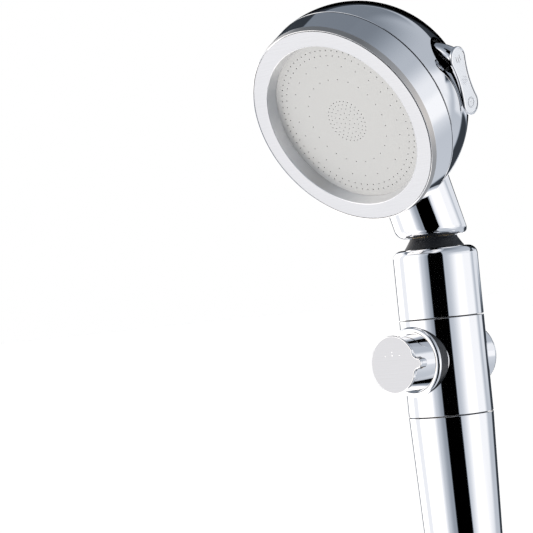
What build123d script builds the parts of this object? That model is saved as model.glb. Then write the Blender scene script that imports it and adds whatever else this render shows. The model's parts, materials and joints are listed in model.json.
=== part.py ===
"""Handheld shower head: ball head on a swivel, mode rocker, push-through stop valve, flow knob.

Millimetres. +Z runs up the handle, the spray face looks towards -Y and down, the mode rocker
is on the +X flank. The origin is the centre of the hose thread's end face.
"""

from build123d import *
import math
import os

# ---------------------------------------------------------------- fits
RUN = 0.06            # radial clearance of a running fit
SEAT = 0.1            # clearance of a piece that sits still in another
FREE = 0.3            # air between pieces of different bodies
SEAM = 0.4            # visible joint line between two chrome shells

# ---------------------------------------------------------------- hose inlet
THREAD_R = 10.4775    # G1/2 major radius
THREAD_LENGTH = 12.0
INLET_BORE_R = 7.6
INLET_BORE_DEPTH = 9.0
WATERWAY_R = 5.0      # clear water way through the connector and spigot
CONNECTOR_R = 9.2
CONNECTOR_DEPTH = 28.0
SCREEN_THICKNESS = 2.0
REGULATOR_THICKNESS = 3.4

# ---------------------------------------------------------------- handle
HANDLE_R = 15.85
HANDLE_END_R = 14.05  # where the taper ends, above the holder cone
HANDLE_WALL = 2.2
HOLDER_CONE_TOP_R = 12.6
HOLDER_CONE_END_R = 11.6
HOLDER_CONE_LENGTH = 22.0
SHOULDER_LENGTH = 4.0
TAPER_LENGTH = 60.0
VALVE_LENGTH = 36.2
COLLAR_LENGTH = 26.1
COLLAR_SHOULDER_R = 3.4
COLLAR_WEB = 3.0
HANDLE_EDGE = 0.5
TUBE_R = 8.0
TUBE_WALL = 1.6
TUBE_ENGAGEMENT = 6.0

# ---------------------------------------------------------------- valve across the handle
VALVE_RISE = 21.0     # valve axis above the lower seam
BLOCK_OVERLAP = 5.0   # how far the valve block reaches into the shells above and below
SPOOL_R = 6.0
SPOOL_NECK_R = 3.4
SPOOL_NECK_LENGTH = 6.8
SPOOL_STEM_R = 3.2
SPOOL_RING_R = 0.8    # section radius of the spool's O-rings
PORT_R = 2.4
PORT_SHIFT = 1.0      # the ports sit this much in front of the valve's axis
PUSH_TRAVEL = 3.5
KNOB_R = 10.2
KNOB_FACE_R = 10.6
KNOB_FACE_THICKNESS = 1.3
KNOB_PROUD = 14.15    # face of the knob in front of the handle's shell
KNOB_DEPTH = 13.0
KNOB_WALL = 1.6
KNOB_FACE_EDGE = 0.3
KNOB_SCREW_DEPTH = 7.0
POINTER_REACH = 13.3
POINTER_TIP_R = 1.9
POINTER_ROOT_ANGLE = 28.0
POINTER_COVE = 1.0    # how far the pointer's flanks are hollowed
POINTER_ROOT_BLEND_R = 1.0
POINTER_TIP_BLEND_R = 0.5
POINTER_DEPTH = 4.4
KNOB_HUB_R = 5.6
BASE_RING_R = 13.1
BASE_RING_PROUD = 3.75
BASE_RING_RIM = 1.4
BASE_RING_FOOT_R = 11.1
BASE_RING_FOOT = 4.0  # the foot narrows to this far inside the handle's outline
BUTTON_R = 11.6
BUTTON_PROUD = 2.2
BUTTON_EDGE_R = 2.2
BUTTON_DOME = 0.9
BUTTON_WALL = 1.6
BUTTON_SKIRT = 3.3    # how much deeper the button's skirt reaches than its hub

# ---------------------------------------------------------------- swivel
SPIGOT_R = 8.1
SPIGOT_RISE = 9.6     # how far the spigot stands up into the neck
SWIVEL_RING_R = 1.0   # section radius of the swivel's O-rings
CONE_HEIGHT = 4.2
CONE_TOP_R = 8.9
CONE_END_R = 11.1
CONE_LIP = 0.9
SPIGOT_FLANGE = 2.6   # thickness of the flange held between the block and the collar
CLIP_THICKNESS = 0.9
CLIP_DEPTH = 1.4      # how far the clip reaches out of the spigot
CLIP_SEAT = 1.0       # how far the clip's groove is cut into the spigot
CLIP_BELOW_TOP = 1.4
CLIP_GAP_ANGLE = 50.0

# ---------------------------------------------------------------- neck and head
NECK_R = 13.0
NECK_LEAN = 21.0
NECK_EDGE_R = 3.0
FEED_R = 5.9
FEED_WALL = 1.5
FEED_GAP = 3.4        # from the spigot's end to the feed tube
FEED_SOCKET = 4.0
HEAD_TILT = 28.0      # spray face below the handle's square
FACE_FORWARD = 45.4   # face centre in front of the handle's axis
FACE_RISE = 41.8      # face centre above the swivel
SEAM_DEPTH = 11.6     # front ring meets the housing
BALL_R = 40.0         # the ball, and the back of the front ring that meets it
HOUSING_WALL = 2.5
RING_TAPER = 1.0      # how much narrower the front ring is at its front edge
RING_CHAMFER = 0.55
RING_CHAMFER_DEPTH = 2.0
RING_WALL = 2.2       # front ring outside the housing's rim
BEZEL_THICKNESS = 1.5
BEZEL_FLARE = 2.0     # how far the bezel opens out in front of the plate
BEZEL_SKIRT_WALL = 0.9
PLATE_DEPTH = 5.4     # spray plate behind the front of the bezel
PLATE_THICKNESS = 0.8
PLATE_STEP = 0.8      # plate narrower than the distributor behind it
PLATE_BORDER = 4.3    # plate hidden under the bezel
SPRAY_HOLE_R = 0.45
HOLE_RING_RADII = (28.2, 21.0, 13.5, 6.6)
HOLE_RING_COUNTS = (30, 12, 8, 12)
GASKET_THICKNESS = 1.1
DISTRIBUTOR_THICKNESS = 3.2
CHAMBER_DEPTH = 1.6
CHAMBER_WALL = 1.5
INNER_ZONE_R = 9.6
HEAD_SEAL_R = 0.85    # section radius of the housing's seal
RIM_WALL = 2.6        # threaded rim of the housing
RIM_LENGTH = 4.2
LEDGE_WIDTH = 1.2
LEDGE_THICKNESS = 2.0

# ---------------------------------------------------------------- mode rocker
PIVOT_INSET = 9.7     # rocker's pivot inside the ball's surface
ROCKER_DEPTH = 26.2   # middle of the rocker behind the face
ROCKER_REACH = 9.8    # face of the rocker outside its pivot
ROCKER_SWING = 17.6   # degrees from one end pressed to the other
LOBE_R = 4.4
LOBE_SPACING = 17.4
WAIST_HALF_WIDTH = 3.3
ROCKER_FACE_THICKNESS = 0.9
ROCKER_FACE_EDGE_R = 0.35
ROCKER_HUB_WALL = 1.6
SKIRT_RISE = 1.9      # outer arc of the rocker's skirt beyond the face plate's end
SKIRT_ANGLE = 84.0    # where the skirt ends, from the rocker's own axis
SKIRT_STEP = 0.6      # the skirt starts this far inside the face plate's end
SKIRT_WALL = 1.2
SKIRT_HALF_WIDTH = 4.0
SKIRT_EDGE_R = 1.5
ROCKER_WEB_HALF = 2.9
PIN_R = 1.5
PIN_LENGTH = 12.4
TAIL_LENGTH = 14.0
TAIL_R = 2.0
TAIL_WIDTH = 2.6
POCKET_R = 7.0
POCKET_RISE = 9.6
POCKET_HALF_WIDTH = 3.6
POCKET_DROP = 13.0
LUG_THICKNESS = 2.6
LUG_HALF_HEIGHT = 3.2

# ---------------------------------------------------------------- diverter
DIVERTER_FLANGE_R = 24.0
DIVERTER_FLANGE = 2.4
DIVERTER_CORNER_R = 3.0
DIVERTER_BACK_WALL = 3.0
DIVERTER_HALF_HEIGHT = 14.0
DIVERTER_LEFT = 9.0
DIVERTER_RIGHT = 18.5
SLIDE_HALF_HEIGHT = 6.0
SLIDE_HALF_DEPTH = 3.7
SLIDE_LEFT = 3.4
TAIL_GAP = 0.5        # from the slide to the end of the rocker's tail
FORK_REACH = 3.6
FORK_ARM = 2.0
FORK_EDGE_R = 0.8
MODE_PORT_SPACING = 9.0
MODE_PORT_R = 1.2
BALL_DETENT_R = 1.2
DETENT_GROOVE = 0.45
SPRING_WIRE_R = 0.18
SPRING_PITCH = 0.6
SCREW_R = 1.4
SCREW_HEAD_R = 2.6
SCREW_HEAD = 1.2
EDGE = 1.0            # least material left outside a screw's head

# ---------------------------------------------------------------- heights up the handle
z_cone = THREAD_LENGTH
z_shoulder = z_cone + HOLDER_CONE_LENGTH
z_taper = z_shoulder + SHOULDER_LENGTH
z_lower_seam = z_taper + TAPER_LENGTH
z_valve = z_lower_seam + VALVE_RISE
z_upper_seam = z_lower_seam + VALVE_LENGTH
z_collar_top = z_upper_seam + COLLAR_LENGTH
z_neck = z_collar_top + CONE_HEIGHT + SEAT
z_tube = z_cone + CONNECTOR_DEPTH - TUBE_ENGAGEMENT
z_block = z_lower_seam - BLOCK_OVERLAP
z_block_top = z_upper_seam + BLOCK_OVERLAP
block_r = HANDLE_R - HANDLE_WALL - 2.5 * SEAT
knob_front = HANDLE_R + KNOB_PROUD
base_ring_front = HANDLE_R + BASE_RING_PROUD

# ---------------------------------------------------------------- directions of the head
tilt = math.radians(HEAD_TILT)
outward = Vector(0, -math.cos(tilt), -math.sin(tilt))
backward = outward * -1
upward = Vector(0, -math.sin(tilt), math.cos(tilt))
face_centre = Vector(0, -FACE_FORWARD, z_neck + FACE_RISE)
head_axis = Axis(face_centre, backward)
rocker_x = BALL_R - PIVOT_INSET
head_section = Plane(origin=face_centre, x_dir=(1, 0, 0), z_dir=upward)
lean = math.radians(NECK_LEAN)
neck_way = Vector(0, -math.sin(lean), math.cos(lean))
neck_foot = Vector(0, 0, z_neck)
neck_plane = Plane(origin=neck_foot, x_dir=(1, 0, 0), z_dir=neck_way)
valve_section = Plane(origin=(0, 0, z_valve), x_dir=(1, 0, 0), z_dir=(0, 0, 1))
valve_axis = Axis((0, 0, z_valve), (0, 1, 0))


def face_plane(depth, x=0.0, height=0.0):
    """A plane parallel to the spray face, depth behind it; its normal points out of the face."""
    origin = face_centre + backward * depth + upward * height + Vector(x, 0, 0)
    return Plane(origin=origin, x_dir=(1, 0, 0), z_dir=outward)


def valve_plane(y):
    """A plane square to the valve's axis at y; its normal points forwards, out of the knob."""
    return Plane(origin=(0, y, z_valve), x_dir=(1, 0, 0), z_dir=(0, -1, 0))


def turned(points, plane=Plane.XZ, axis=Axis.Z):
    """A solid of revolution from the closed profile of (radius, length) points."""
    with BuildPart() as solid:
        with BuildSketch(plane):
            with BuildLine():
                Polyline(*points, close=True)
            make_face()
        revolve(axis=axis)
    return solid.part


def turned_on_head(points):
    """A solid of revolution about the head's axis from (radius, depth behind the face) points."""
    return turned(points, head_section, head_axis)


def turned_on_valve(points):
    """A solid of revolution about the valve's axis from (radius, y) points."""
    return turned(points, valve_section, valve_axis)


def ring_groove(outer_r, section_r, position):
    """The (radius, length) points of the groove that an O-ring of this section sits in."""
    floor_r = outer_r - 2 * section_r
    half = section_r + SEAT
    return [
        (floor_r, position - half),
        (outer_r + FREE, position - half),
        (outer_r + FREE, position + half),
        (floor_r, position + half),
    ]


os.makedirs("parts", exist_ok=True)

# ================================================================ handle

handle_bore_end_r = HANDLE_END_R - HANDLE_WALL
handle_bore_top_r = HANDLE_R - HANDLE_WALL
connector_hole_r = CONNECTOR_R + SEAT
z_connector_top = z_cone + CONNECTOR_DEPTH

with BuildPart() as lower_handle:
    with BuildSketch(Plane.XZ):
        with BuildLine():
            Polyline(
                (HANDLE_END_R, z_taper),
                (HANDLE_R, z_lower_seam - SEAM / 2),
                (handle_bore_top_r, z_lower_seam - SEAM / 2),
                (handle_bore_end_r, z_connector_top + 2 * SEAT),
                (connector_hole_r, z_connector_top + 2 * SEAT),
                (connector_hole_r, z_cone + SEAT),
                (HOLDER_CONE_END_R, z_cone + SEAT),
                (HOLDER_CONE_TOP_R, z_shoulder),
            )
            Spline(
                (HOLDER_CONE_TOP_R, z_shoulder),
                (HANDLE_END_R, z_taper),
                tangents=[
                    (HOLDER_CONE_TOP_R - HOLDER_CONE_END_R, HOLDER_CONE_LENGTH),
                    (HANDLE_R - HANDLE_END_R, TAPER_LENGTH),
                ],
            )
        make_face()
    revolve(axis=Axis.Z)
    chamfer(lower_handle.edges().group_by(Axis.Z)[0].sort_by(SortBy.RADIUS)[-1], HANDLE_EDGE)
lower_handle.part.label = "lower_handle"
export_step(lower_handle.part, "parts/lower_handle.step")

tube_socket_r = TUBE_R + SEAT

with BuildPart() as inlet_connector:
    add(turned([
        (INLET_BORE_R, 0),
        (THREAD_R, 0),
        (THREAD_R, z_cone),
        (CONNECTOR_R, z_cone),
        (CONNECTOR_R, z_connector_top),
        (tube_socket_r, z_connector_top),
        (tube_socket_r, z_tube - SEAT),
        (WATERWAY_R, z_tube - SEAT),
        (WATERWAY_R, INLET_BORE_DEPTH),
        (INLET_BORE_R, INLET_BORE_DEPTH),
    ]))
    chamfer(inlet_connector.edges().filter_by_position(Axis.Z, 0, 0).sort_by(SortBy.RADIUS)[-1], HANDLE_EDGE)
inlet_connector.part.label = "inlet_connector"
export_step(inlet_connector.part, "parts/inlet_connector.step")

insert_r = INLET_BORE_R - SEAT
z_regulator = INLET_BORE_DEPTH - REGULATOR_THICKNESS
z_screen = z_regulator - SCREEN_THICKNESS

with BuildPart() as flow_regulator:
    with BuildSketch(Plane.XY.offset(z_regulator)):
        Circle(insert_r)
        with PolarLocations(insert_r * 0.5, 6):
            Circle(insert_r * 0.16, mode=Mode.SUBTRACT)
    extrude(amount=REGULATOR_THICKNESS)
    with BuildSketch(Plane.XY.offset(z_regulator)):
        Circle(insert_r * 0.85)
        Circle(insert_r * 0.25, mode=Mode.SUBTRACT)
    extrude(amount=REGULATOR_THICKNESS / 3, mode=Mode.SUBTRACT)
flow_regulator.part.label = "flow_regulator"
export_step(flow_regulator.part, "parts/flow_regulator.step")

with BuildPart() as filter_screen:
    with BuildSketch(Plane.XY.offset(z_screen)):
        Circle(insert_r)
        Circle(insert_r * 0.82, mode=Mode.SUBTRACT)
    extrude(amount=SCREEN_THICKNESS)
    with BuildSketch(Plane.XY.offset(z_screen + SCREEN_THICKNESS * 0.3)):
        Circle(insert_r * 0.85)
        with PolarLocations(insert_r * 0.48, 6):
            Circle(insert_r * 0.17, mode=Mode.SUBTRACT)
        Circle(insert_r * 0.17, mode=Mode.SUBTRACT)
    extrude(amount=SCREEN_THICKNESS * 0.4)
filter_screen.part.label = "filter_screen"
export_step(filter_screen.part, "parts/filter_screen.step")

tube_bore_r = TUBE_R - TUBE_WALL
tube_ring_r = TUBE_WALL / 4
z_tube_top = z_block + TUBE_ENGAGEMENT
tube_ring_heights = (z_tube + TUBE_ENGAGEMENT / 2, z_tube_top - TUBE_ENGAGEMENT / 2)

with BuildPart() as water_tube:
    add(turned([(tube_bore_r, z_tube), (TUBE_R, z_tube), (TUBE_R, z_tube_top), (tube_bore_r, z_tube_top)]))
    for height in tube_ring_heights:
        add(turned(ring_groove(TUBE_R, tube_ring_r, height)), mode=Mode.SUBTRACT)
water_tube.part.label = "water_tube"
export_step(water_tube.part, "parts/water_tube.step")

with BuildPart() as water_tube_o_rings:
    for height in tube_ring_heights:
        with BuildSketch(Plane.XZ):
            with Locations((TUBE_R - tube_ring_r, height)):
                Circle(tube_ring_r)
        revolve(axis=Axis.Z)
water_tube_o_rings.part.label = "water_tube_o_rings"
export_step(water_tube_o_rings.part, "parts/water_tube_o_rings.step")

# ---------------------------------------------------------------- valve section

knob_hole_r = KNOB_R + FREE
button_hole_r = BUTTON_R + FREE

with BuildPart() as valve_sleeve:
    add(turned([
        (HANDLE_R - HANDLE_WALL, z_lower_seam + SEAM / 2),
        (HANDLE_R, z_lower_seam + SEAM / 2),
        (HANDLE_R, z_upper_seam - SEAM / 2),
        (HANDLE_R - HANDLE_WALL, z_upper_seam - SEAM / 2),
    ]))
    with BuildSketch(valve_plane(0)):
        Circle(knob_hole_r)
    extrude(amount=HANDLE_R + FREE, mode=Mode.SUBTRACT)
    with BuildSketch(valve_plane(0)):
        Circle(button_hole_r)
    extrude(amount=-(HANDLE_R + FREE), mode=Mode.SUBTRACT)
valve_sleeve.part.label = "valve_sleeve"
export_step(valve_sleeve.part, "parts/valve_sleeve.step")

with BuildPart() as knob_base_ring:
    with BuildSketch(valve_section):
        with BuildLine():
            front_inner = (knob_hole_r + BASE_RING_RIM * 0.3, -base_ring_front + BASE_RING_RIM * 0.8)
            front_rim = (BASE_RING_R - BASE_RING_RIM, -base_ring_front)
            outer_rim = (BASE_RING_R, -base_ring_front + BASE_RING_RIM)
            Polyline(
                outer_rim,
                (BASE_RING_FOOT_R, BASE_RING_FOOT - HANDLE_R),
                (BASE_RING_FOOT_R, 0),
                (knob_hole_r, 0),
                (knob_hole_r, front_inner[1] + BASE_RING_RIM * 0.3),
                front_inner,
                front_rim,
            )
            RadiusArc(front_rim, outer_rim, BASE_RING_RIM)
        make_face()
    revolve(axis=valve_axis)
    with BuildSketch(Plane.XY.offset(z_lower_seam)):
        Circle(HANDLE_R + SEAT / 2)
    extrude(amount=VALVE_LENGTH, mode=Mode.SUBTRACT)
knob_base_ring.part.label = "knob_base_ring"
export_step(knob_base_ring.part, "parts/knob_base_ring.step")

# front and back flats of the block leave room for the knob pushed in and the button at rest
knob_back = -knob_front + KNOB_DEPTH
block_front = knob_back + PUSH_TRAVEL + 2 * FREE
button_front = HANDLE_R + BUTTON_PROUD
hub_back = HANDLE_R - HANDLE_WALL - 3 * FREE
block_back = hub_back - FREE
skirt_back = hub_back - BUTTON_SKIRT
bore_r = SPOOL_R + RUN
block_socket_r = SPIGOT_R + SEAT
z_spigot = z_block_top - 2 * TUBE_ENGAGEMENT

with BuildPart() as valve_block:
    with BuildSketch(Plane.XY.offset(z_block)):
        Circle(block_r)
    extrude(amount=z_block_top - z_block)
    with BuildSketch(valve_plane(block_front)):
        Circle(knob_hole_r + FREE)
    extrude(amount=HANDLE_R, mode=Mode.SUBTRACT)
    with BuildSketch(valve_plane(block_back)):
        Circle(button_hole_r + FREE)
    extrude(amount=-HANDLE_R, mode=Mode.SUBTRACT)
    # groove for the button's skirt
    with BuildSketch(valve_plane(skirt_back - FREE)):
        Circle(button_hole_r + FREE)
        Circle(BUTTON_R - BUTTON_WALL - FREE, mode=Mode.SUBTRACT)
    extrude(amount=-HANDLE_R, mode=Mode.SUBTRACT)
    with BuildSketch(valve_plane(-HANDLE_R)):
        Circle(bore_r)
    extrude(amount=-2 * HANDLE_R, mode=Mode.SUBTRACT)
    with BuildSketch(Plane.XY.offset(z_block)):
        Circle(tube_socket_r)
    extrude(amount=TUBE_ENGAGEMENT + SEAT, mode=Mode.SUBTRACT)
    with BuildSketch(Plane.XY.offset(z_spigot - SEAT)):
        Circle(block_socket_r)
    extrude(amount=z_block_top - z_spigot + SEAT, mode=Mode.SUBTRACT)
    with BuildSketch(Plane.XY.offset(z_block)):
        with Locations((0, -PORT_SHIFT)):
            Circle(PORT_R)
    extrude(amount=z_block_top - z_block, mode=Mode.SUBTRACT)
valve_block.part.label = "valve_block"
export_step(valve_block.part, "parts/valve_block.step")

# ---------------------------------------------------------------- collar and swivel

collar_web_r = SPIGOT_R + SEAT
flange_r = block_r - SEAT
z_flange = z_block_top + SEAT
z_web = z_flange + SPIGOT_FLANGE + SEAT

with BuildPart() as upper_collar:
    with BuildSketch(Plane.XZ):
        with BuildLine():
            Polyline(
                (HANDLE_R - COLLAR_SHOULDER_R, z_collar_top),
                (collar_web_r, z_collar_top),
                (collar_web_r, z_web),
                (HANDLE_R - HANDLE_WALL, z_web),
                (HANDLE_R - HANDLE_WALL, z_upper_seam + SEAM / 2),
                (HANDLE_R, z_upper_seam + SEAM / 2),
                (HANDLE_R, z_collar_top - COLLAR_SHOULDER_R),
            )
            RadiusArc(
                (HANDLE_R, z_collar_top - COLLAR_SHOULDER_R),
                (HANDLE_R - COLLAR_SHOULDER_R, z_collar_top),
                -COLLAR_SHOULDER_R,
            )
        make_face()
    revolve(axis=Axis.Z)
    add(turned([
        (collar_web_r + COLLAR_WEB, z_web - FREE),
        (HANDLE_R - HANDLE_WALL, z_web - FREE),
        (HANDLE_R - HANDLE_WALL, z_collar_top - COLLAR_WEB),
        (collar_web_r + COLLAR_WEB, z_collar_top - COLLAR_WEB),
    ]), mode=Mode.SUBTRACT)
upper_collar.part.label = "upper_collar"
export_step(upper_collar.part, "parts/upper_collar.step")

z_spigot_top = z_neck + SPIGOT_RISE
swivel_ring_heights = (z_neck + 2.2 * SWIVEL_RING_R, z_neck + 4.9 * SWIVEL_RING_R)
z_clip = z_spigot_top - CLIP_BELOW_TOP
clip_groove_r = SPIGOT_R - CLIP_SEAT

with BuildPart() as swivel_spigot:
    add(turned([
        (WATERWAY_R, z_spigot),
        (SPIGOT_R, z_spigot),
        (SPIGOT_R, z_flange),
        (flange_r, z_flange),
        (flange_r, z_flange + SPIGOT_FLANGE),
        (SPIGOT_R, z_flange + SPIGOT_FLANGE),
        (SPIGOT_R, z_spigot_top),
        (WATERWAY_R, z_spigot_top),
    ]))
    for height in swivel_ring_heights:
        add(turned(ring_groove(SPIGOT_R, SWIVEL_RING_R, height)), mode=Mode.SUBTRACT)
    add(turned([
        (clip_groove_r, z_clip - CLIP_THICKNESS / 2 - FREE),
        (SPIGOT_R + FREE, z_clip - CLIP_THICKNESS / 2 - FREE),
        (SPIGOT_R + FREE, z_clip + CLIP_THICKNESS / 2 + FREE),
        (clip_groove_r, z_clip + CLIP_THICKNESS / 2 + FREE),
    ]), mode=Mode.SUBTRACT)
swivel_spigot.part.label = "swivel_spigot"
export_step(swivel_spigot.part, "parts/swivel_spigot.step")

with BuildPart() as swivel_o_rings:
    for height in swivel_ring_heights:
        with BuildSketch(Plane.XZ):
            with Locations((SPIGOT_R - SWIVEL_RING_R, height)):
                Circle(SWIVEL_RING_R)
        revolve(axis=Axis.Z)
swivel_o_rings.part.label = "swivel_o_rings"
export_step(swivel_o_rings.part, "parts/swivel_o_rings.step")

with BuildPart() as swivel_cone:
    add(turned([
        (SPIGOT_R + SEAT, z_collar_top),
        (CONE_END_R, z_collar_top),
        (CONE_END_R, z_collar_top + CONE_LIP * 0.4),
        (CONE_END_R - CONE_LIP * 0.5, z_collar_top + CONE_LIP),
        (CONE_TOP_R, z_collar_top + CONE_HEIGHT - CONE_LIP * 0.6),
        (CONE_TOP_R, z_collar_top + CONE_HEIGHT - SEAT),
        (SPIGOT_R + SEAT, z_collar_top + CONE_HEIGHT - SEAT),
    ]))
swivel_cone.part.label = "swivel_cone"
export_step(swivel_cone.part, "parts/swivel_cone.step")

# ================================================================ valve: spool, knob, button

stem_front = -knob_front + KNOB_FACE_THICKNESS + 2 * KNOB_WALL
spool_ring_places = (
    block_front + 1.4 * SPOOL_RING_R + FREE,
    block_front + 4.4 * SPOOL_RING_R + FREE,
    block_back - PUSH_TRAVEL - 4.4 * SPOOL_RING_R,
    block_back - PUSH_TRAVEL - 1.4 * SPOOL_RING_R,
)
bulb_front = hub_back + BUTTON_WALL
button_floor = button_front - BUTTON_DOME - BUTTON_WALL

with BuildPart() as stop_spool:
    add(turned_on_valve([
        (0, stem_front),
        (SPOOL_STEM_R, stem_front),
        (SPOOL_STEM_R, block_front),
        (SPOOL_R, block_front),
        (SPOOL_R, -PORT_SHIFT - SPOOL_NECK_LENGTH / 2),
        (SPOOL_NECK_R, -PORT_SHIFT - SPOOL_NECK_LENGTH / 2),
        (SPOOL_NECK_R, -PORT_SHIFT + SPOOL_NECK_LENGTH / 2),
        (SPOOL_R, -PORT_SHIFT + SPOOL_NECK_LENGTH / 2),
        (SPOOL_R, block_back),
        (SPOOL_STEM_R * 0.75, block_back),
        (SPOOL_STEM_R * 0.75, bulb_front),
        (SPOOL_STEM_R, bulb_front),
        (SPOOL_STEM_R, button_floor - FREE),
        (0, button_floor - FREE),
    ]))
    for place in spool_ring_places:
        add(turned_on_valve(ring_groove(SPOOL_R, SPOOL_RING_R, place)), mode=Mode.SUBTRACT)
    with BuildSketch(valve_plane(stem_front)):
        Circle(SCREW_R + SEAT)
    extrude(amount=-(KNOB_SCREW_DEPTH + SEAT), mode=Mode.SUBTRACT)
stop_spool.part.label = "stop_spool"
export_step(stop_spool.part, "parts/stop_spool.step")

with BuildPart() as spool_o_rings:
    for place in spool_ring_places:
        with BuildSketch(valve_section):
            with Locations((SPOOL_R - SPOOL_RING_R, place)):
                Circle(SPOOL_RING_R)
        revolve(axis=valve_axis)
spool_o_rings.part.label = "spool_o_rings"
export_step(spool_o_rings.part, "parts/spool_o_rings.step")

button_hub_r = SPOOL_STEM_R + BUTTON_WALL
lip_r = SPOOL_STEM_R * 0.75 + RUN

with BuildPart() as rear_button:
    with BuildSketch(valve_section):
        with BuildLine():
            dome_edge = (BUTTON_R - BUTTON_EDGE_R, button_front - BUTTON_DOME)
            dome_r = (dome_edge[0] ** 2 + BUTTON_DOME ** 2) / (2 * BUTTON_DOME)
            RadiusArc((0, button_front), dome_edge, dome_r)
            RadiusArc(dome_edge, (BUTTON_R, button_front - BUTTON_DOME - BUTTON_EDGE_R), BUTTON_EDGE_R)
            Polyline(
                (BUTTON_R, button_front - BUTTON_DOME - BUTTON_EDGE_R),
                (BUTTON_R, skirt_back),
                (BUTTON_R - BUTTON_WALL, skirt_back),
                (BUTTON_R - BUTTON_WALL, button_floor),
                (button_hub_r, button_floor),
                (button_hub_r, hub_back),
                (lip_r, hub_back),
                (lip_r, bulb_front - SEAT),
                (SPOOL_STEM_R + RUN, bulb_front - SEAT),
                (SPOOL_STEM_R + RUN, button_floor),
                (0, button_floor),
                (0, button_front),
            )
        make_face()
    revolve(axis=valve_axis)
rear_button.part.label = "rear_button"
export_step(rear_button.part, "parts/rear_button.step")


def knob_outline(disc_r, reach):
    """The knob seen from the front: a disc with a pointer towards +X, hollowed at its flanks."""
    root = math.radians(POINTER_ROOT_ANGLE)
    tip_x = reach - POINTER_TIP_R
    flank = (tip_x + POINTER_TIP_R * math.sin(root), POINTER_TIP_R * math.cos(root))
    corner = (disc_r * math.cos(root), disc_r * math.sin(root))
    with BuildSketch() as outline:
        with BuildLine():
            ThreePointArc(corner, (-disc_r, 0), (corner[0], -corner[1]))
            SagittaArc((corner[0], -corner[1]), (flank[0], -flank[1]), POINTER_COVE)
            ThreePointArc((flank[0], -flank[1]), (reach, 0), flank)
            SagittaArc(flank, corner, POINTER_COVE)
        make_face()
        fillet(outline.vertices().group_by(Axis.X)[0], POINTER_ROOT_BLEND_R)
        fillet(outline.vertices().group_by(Axis.X)[-1], POINTER_TIP_BLEND_R)
    return outline.sketch


y_face_back = -knob_front + KNOB_FACE_THICKNESS

with BuildPart() as knob_face:
    with BuildSketch(valve_plane(-knob_front)):
        add(knob_outline(KNOB_FACE_R, POINTER_REACH))
    extrude(amount=-KNOB_FACE_THICKNESS)
    chamfer(knob_face.faces().sort_by(Axis.Y)[0].edges(), KNOB_FACE_EDGE)
knob_face.part.label = "knob_face"
export_step(knob_face.part, "parts/knob_face.step")

with BuildPart() as flow_knob:
    with BuildSketch(valve_plane(y_face_back)):
        Circle(KNOB_R)
    extrude(amount=-(KNOB_DEPTH - KNOB_FACE_THICKNESS))
    with BuildSketch(valve_plane(y_face_back)):
        add(knob_outline(KNOB_R, POINTER_REACH - (KNOB_FACE_R - KNOB_R)))
    extrude(amount=-(POINTER_DEPTH - KNOB_FACE_THICKNESS))
    with BuildSketch(valve_plane(stem_front)):
        Circle(KNOB_R - KNOB_WALL)
        Circle(KNOB_HUB_R, mode=Mode.SUBTRACT)
        Circle(SPOOL_STEM_R + SEAT)
    extrude(amount=-KNOB_DEPTH, mode=Mode.SUBTRACT)
    with BuildSketch(valve_plane(y_face_back)):
        Circle(SCREW_HEAD_R + SEAT)
    extrude(amount=-(SCREW_HEAD + SEAT), mode=Mode.SUBTRACT)
    with BuildSketch(valve_plane(y_face_back)):
        Circle(SCREW_R + SEAT)
    extrude(amount=-KNOB_DEPTH, mode=Mode.SUBTRACT)
flow_knob.part.label = "flow_knob"
export_step(flow_knob.part, "parts/flow_knob.step")

with BuildPart() as knob_screw:
    with BuildSketch(valve_plane(y_face_back + SEAT)):
        Circle(SCREW_HEAD_R)
        RegularPolygon(SCREW_R, 6, mode=Mode.SUBTRACT)
    extrude(amount=-SCREW_HEAD)
    with BuildSketch(valve_plane(y_face_back + SEAT + SCREW_HEAD * 0.6)):
        Circle(SCREW_R)
    extrude(amount=-(stem_front + KNOB_SCREW_DEPTH - y_face_back - SCREW_HEAD * 0.6))
knob_screw.part.label = "knob_screw"
export_step(knob_screw.part, "parts/knob_screw.step")

# ================================================================ head

rim_front = SEAM_DEPTH - RIM_LENGTH
housing_front = SEAM_DEPTH + SEAM / 2
ball_edge_r = math.sqrt(BALL_R ** 2 - (SEAM / 2) ** 2)
ring_edge_r = BALL_R - RING_TAPER
rim_r = BALL_R - RING_WALL
distributor_bore_r = rim_r - RIM_WALL
distributor_r = distributor_bore_r - SEAT
ledge_r = distributor_bore_r - LEDGE_WIDTH
plate_r = distributor_r - PLATE_STEP
plate_view_r = plate_r - PLATE_BORDER
inner_ball_r = BALL_R - HOUSING_WALL
gasket_depth = PLATE_DEPTH + PLATE_THICKNESS
distributor_depth = gasket_depth + GASKET_THICKNESS
diverter_depth = distributor_depth + DISTRIBUTOR_THICKNESS
ledge_depth = diverter_depth + SEAT
ledge_back = ledge_depth + LEDGE_THICKNESS
ledge_back_r = math.sqrt(inner_ball_r ** 2 - (ledge_back - SEAM_DEPTH) ** 2)
neck_reach = (face_centre - neck_foot).length - BALL_R / 2
lug_inside = POCKET_HALF_WIDTH
lug_outside = POCKET_HALF_WIDTH + LUG_THICKNESS
pivot = face_centre + backward * ROCKER_DEPTH + Vector(rocker_x, 0, 0)


def flank_plane(x):
    """A plane facing +X beside the head: local x is up the face, local y is out of the face."""
    return Plane(origin=face_centre + Vector(x, 0, 0), x_dir=upward, z_dir=(1, 0, 0))


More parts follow.
